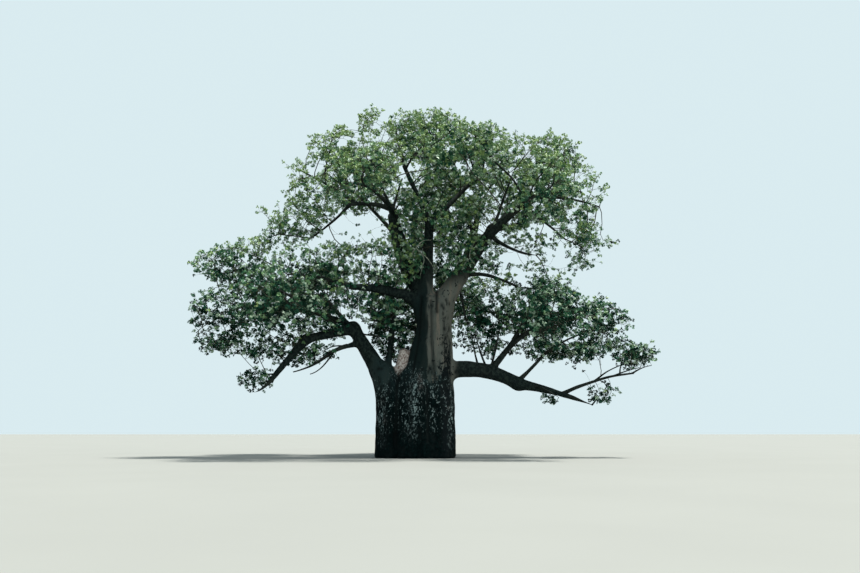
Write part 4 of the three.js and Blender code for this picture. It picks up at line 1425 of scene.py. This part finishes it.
# Where the boughs' near-black bark, painted shade, takes over from the trunk's.
bough_share = smoothstep(0.05, 0.5, column_gap)
near_fork = (skin_verts[:, 0] > 0.1) & (skin_verts[:, 0] < 4.5) & (np.abs(skin_verts[:, 1]) < 1.6)
rising = smoothstep(10.1, 11.8, skin_verts[:, 2])
bough_share = np.where(near_fork & (skin_verts[:, 2] > 8.6), rising, bough_share)
bough_share = bough_share * 0.95 * (1 - stub_bark)
for name, values in (("scar_and_crease_shade", scar_and_crease_shade), ("bough", bough_share), ("ribs", ribs), ("specks", specks), ("stub", stub_bark),
                     ("edge", edge_shift)):
    layer = piece.data.attributes.new(name, "FLOAT", "POINT")
    layer.data.foreach_set("value", values.astype(np.float32))

# Painted shade: the branches' bark is near black, for the shade they lie in under the crown.
bark_in_painted_shade = bough_material("bark_of_branches", (0.007, 0.011, 0.010), (0.028, 0.034, 0.029), 2.6)
bark_twig = bough_material("bark_of_twigs", (0.022, 0.026, 0.018), (0.060, 0.060, 0.045), 6.0)
verts, faces = tubes(bark_chains, 10)
make_piece("thin_boughs", verts, faces, bark_in_painted_shade)
verts, faces = tubes(branch_chains, 7)
make_piece("branches", verts, faces, bark_in_painted_shade)
bark_pale = bough_material("pale_bark_of_twigs", (0.090, 0.110, 0.085), (0.230, 0.250, 0.200), 5.0)
pale_chains = []
for twig in PALE_TWIGS:
    points = np.array([from_pixels(x, y, depth_y) for x, y, depth_y in twig])
    pale_chains.append(resample(points, np.linspace(0.034, 0.014, len(points)), 0.12))
verts, faces = tubes(pale_chains, 5)
make_piece("pale_twigs", verts, faces, bark_pale)
verts, faces = tubes(twig_chains, 3)
make_piece("twigs", verts, faces, bark_twig, smooth=False)
verts, spike_faces = spike_mesh(np.array(spikes))
make_piece("short_twigs", verts, [spike_faces], bark_twig, smooth=False)

piece_rng = np.random.default_rng(2718)
most = 198000 // TRIS_EACH
for k, (name, colour, slot, gloss) in enumerate(GREENS):
    chosen = np.nonzero(tone == k)[0]
    material = leaf_material(name, colour, gloss)
    parts = np.array_split(chosen, max(1, math.ceil(len(chosen) / most)))
    for j, part in enumerate(parts):
        verts, faces = leaf_piece_mesh(part, piece_rng)
        covers = leaf_nodes if (k == 0 and j == 0) else ()
        make_piece(f"{name}_{j + 1}", verts, faces, material, covers, smooth=False)

# ---------------------------------------------------------------- floor and light


def plain_material(name, colour, roughness):
    s = Shader(name, roughness, 0.2)
    n = s.noise(0.15, (1, 1, 1), 3)
    return s.finish(s.mix(s.remap(n, 0.3, 0.7), colour, tuple(c * 0.97 for c in colour)), n, 0.01, 0.1)


bpy.ops.mesh.primitive_plane_add(size=900, location=(0, 0, -0.004))
floor = bpy.context.object
floor.name = "floor"
floor.data.materials.append(plain_material("floor_pale", (0.20, 0.207, 0.197), 0.9))
floor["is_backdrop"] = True

world = bpy.data.worlds.new("studio")
bpy.context.scene.world = world
world.use_nodes = True
background = world.node_tree.nodes["Background"]
background.inputs["Color"].default_value = (0.72, 0.86, 0.90, 1)
background.inputs["Strength"].default_value = 0.97

sun_data = bpy.data.lights.new("key", "SUN")
sun_data.energy = 9.0
sun_data.angle = math.radians(8)
sun_data.color = (1.0, 0.97, 0.90)
sun = bpy.data.objects.new("key", sun_data)
sun.rotation_euler = Vector((-0.32, -0.02, -0.94)).to_track_quat("-Z", "Y").to_euler()
bpy.context.scene.collection.objects.link(sun)
side_data = bpy.data.lights.new("side", "SUN")
side_data.energy = 0.5
side_data.angle = math.radians(50)
side_data.color = (1.0, 0.97, 0.93)
side = bpy.data.objects.new("side", side_data)
side.rotation_euler = Vector((-0.85, 0.45, -0.35)).to_track_quat("-Z", "Y").to_euler()
bpy.context.scene.collection.objects.link(side)
bpy.context.scene.view_settings.view_transform = "Standard"

low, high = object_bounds()
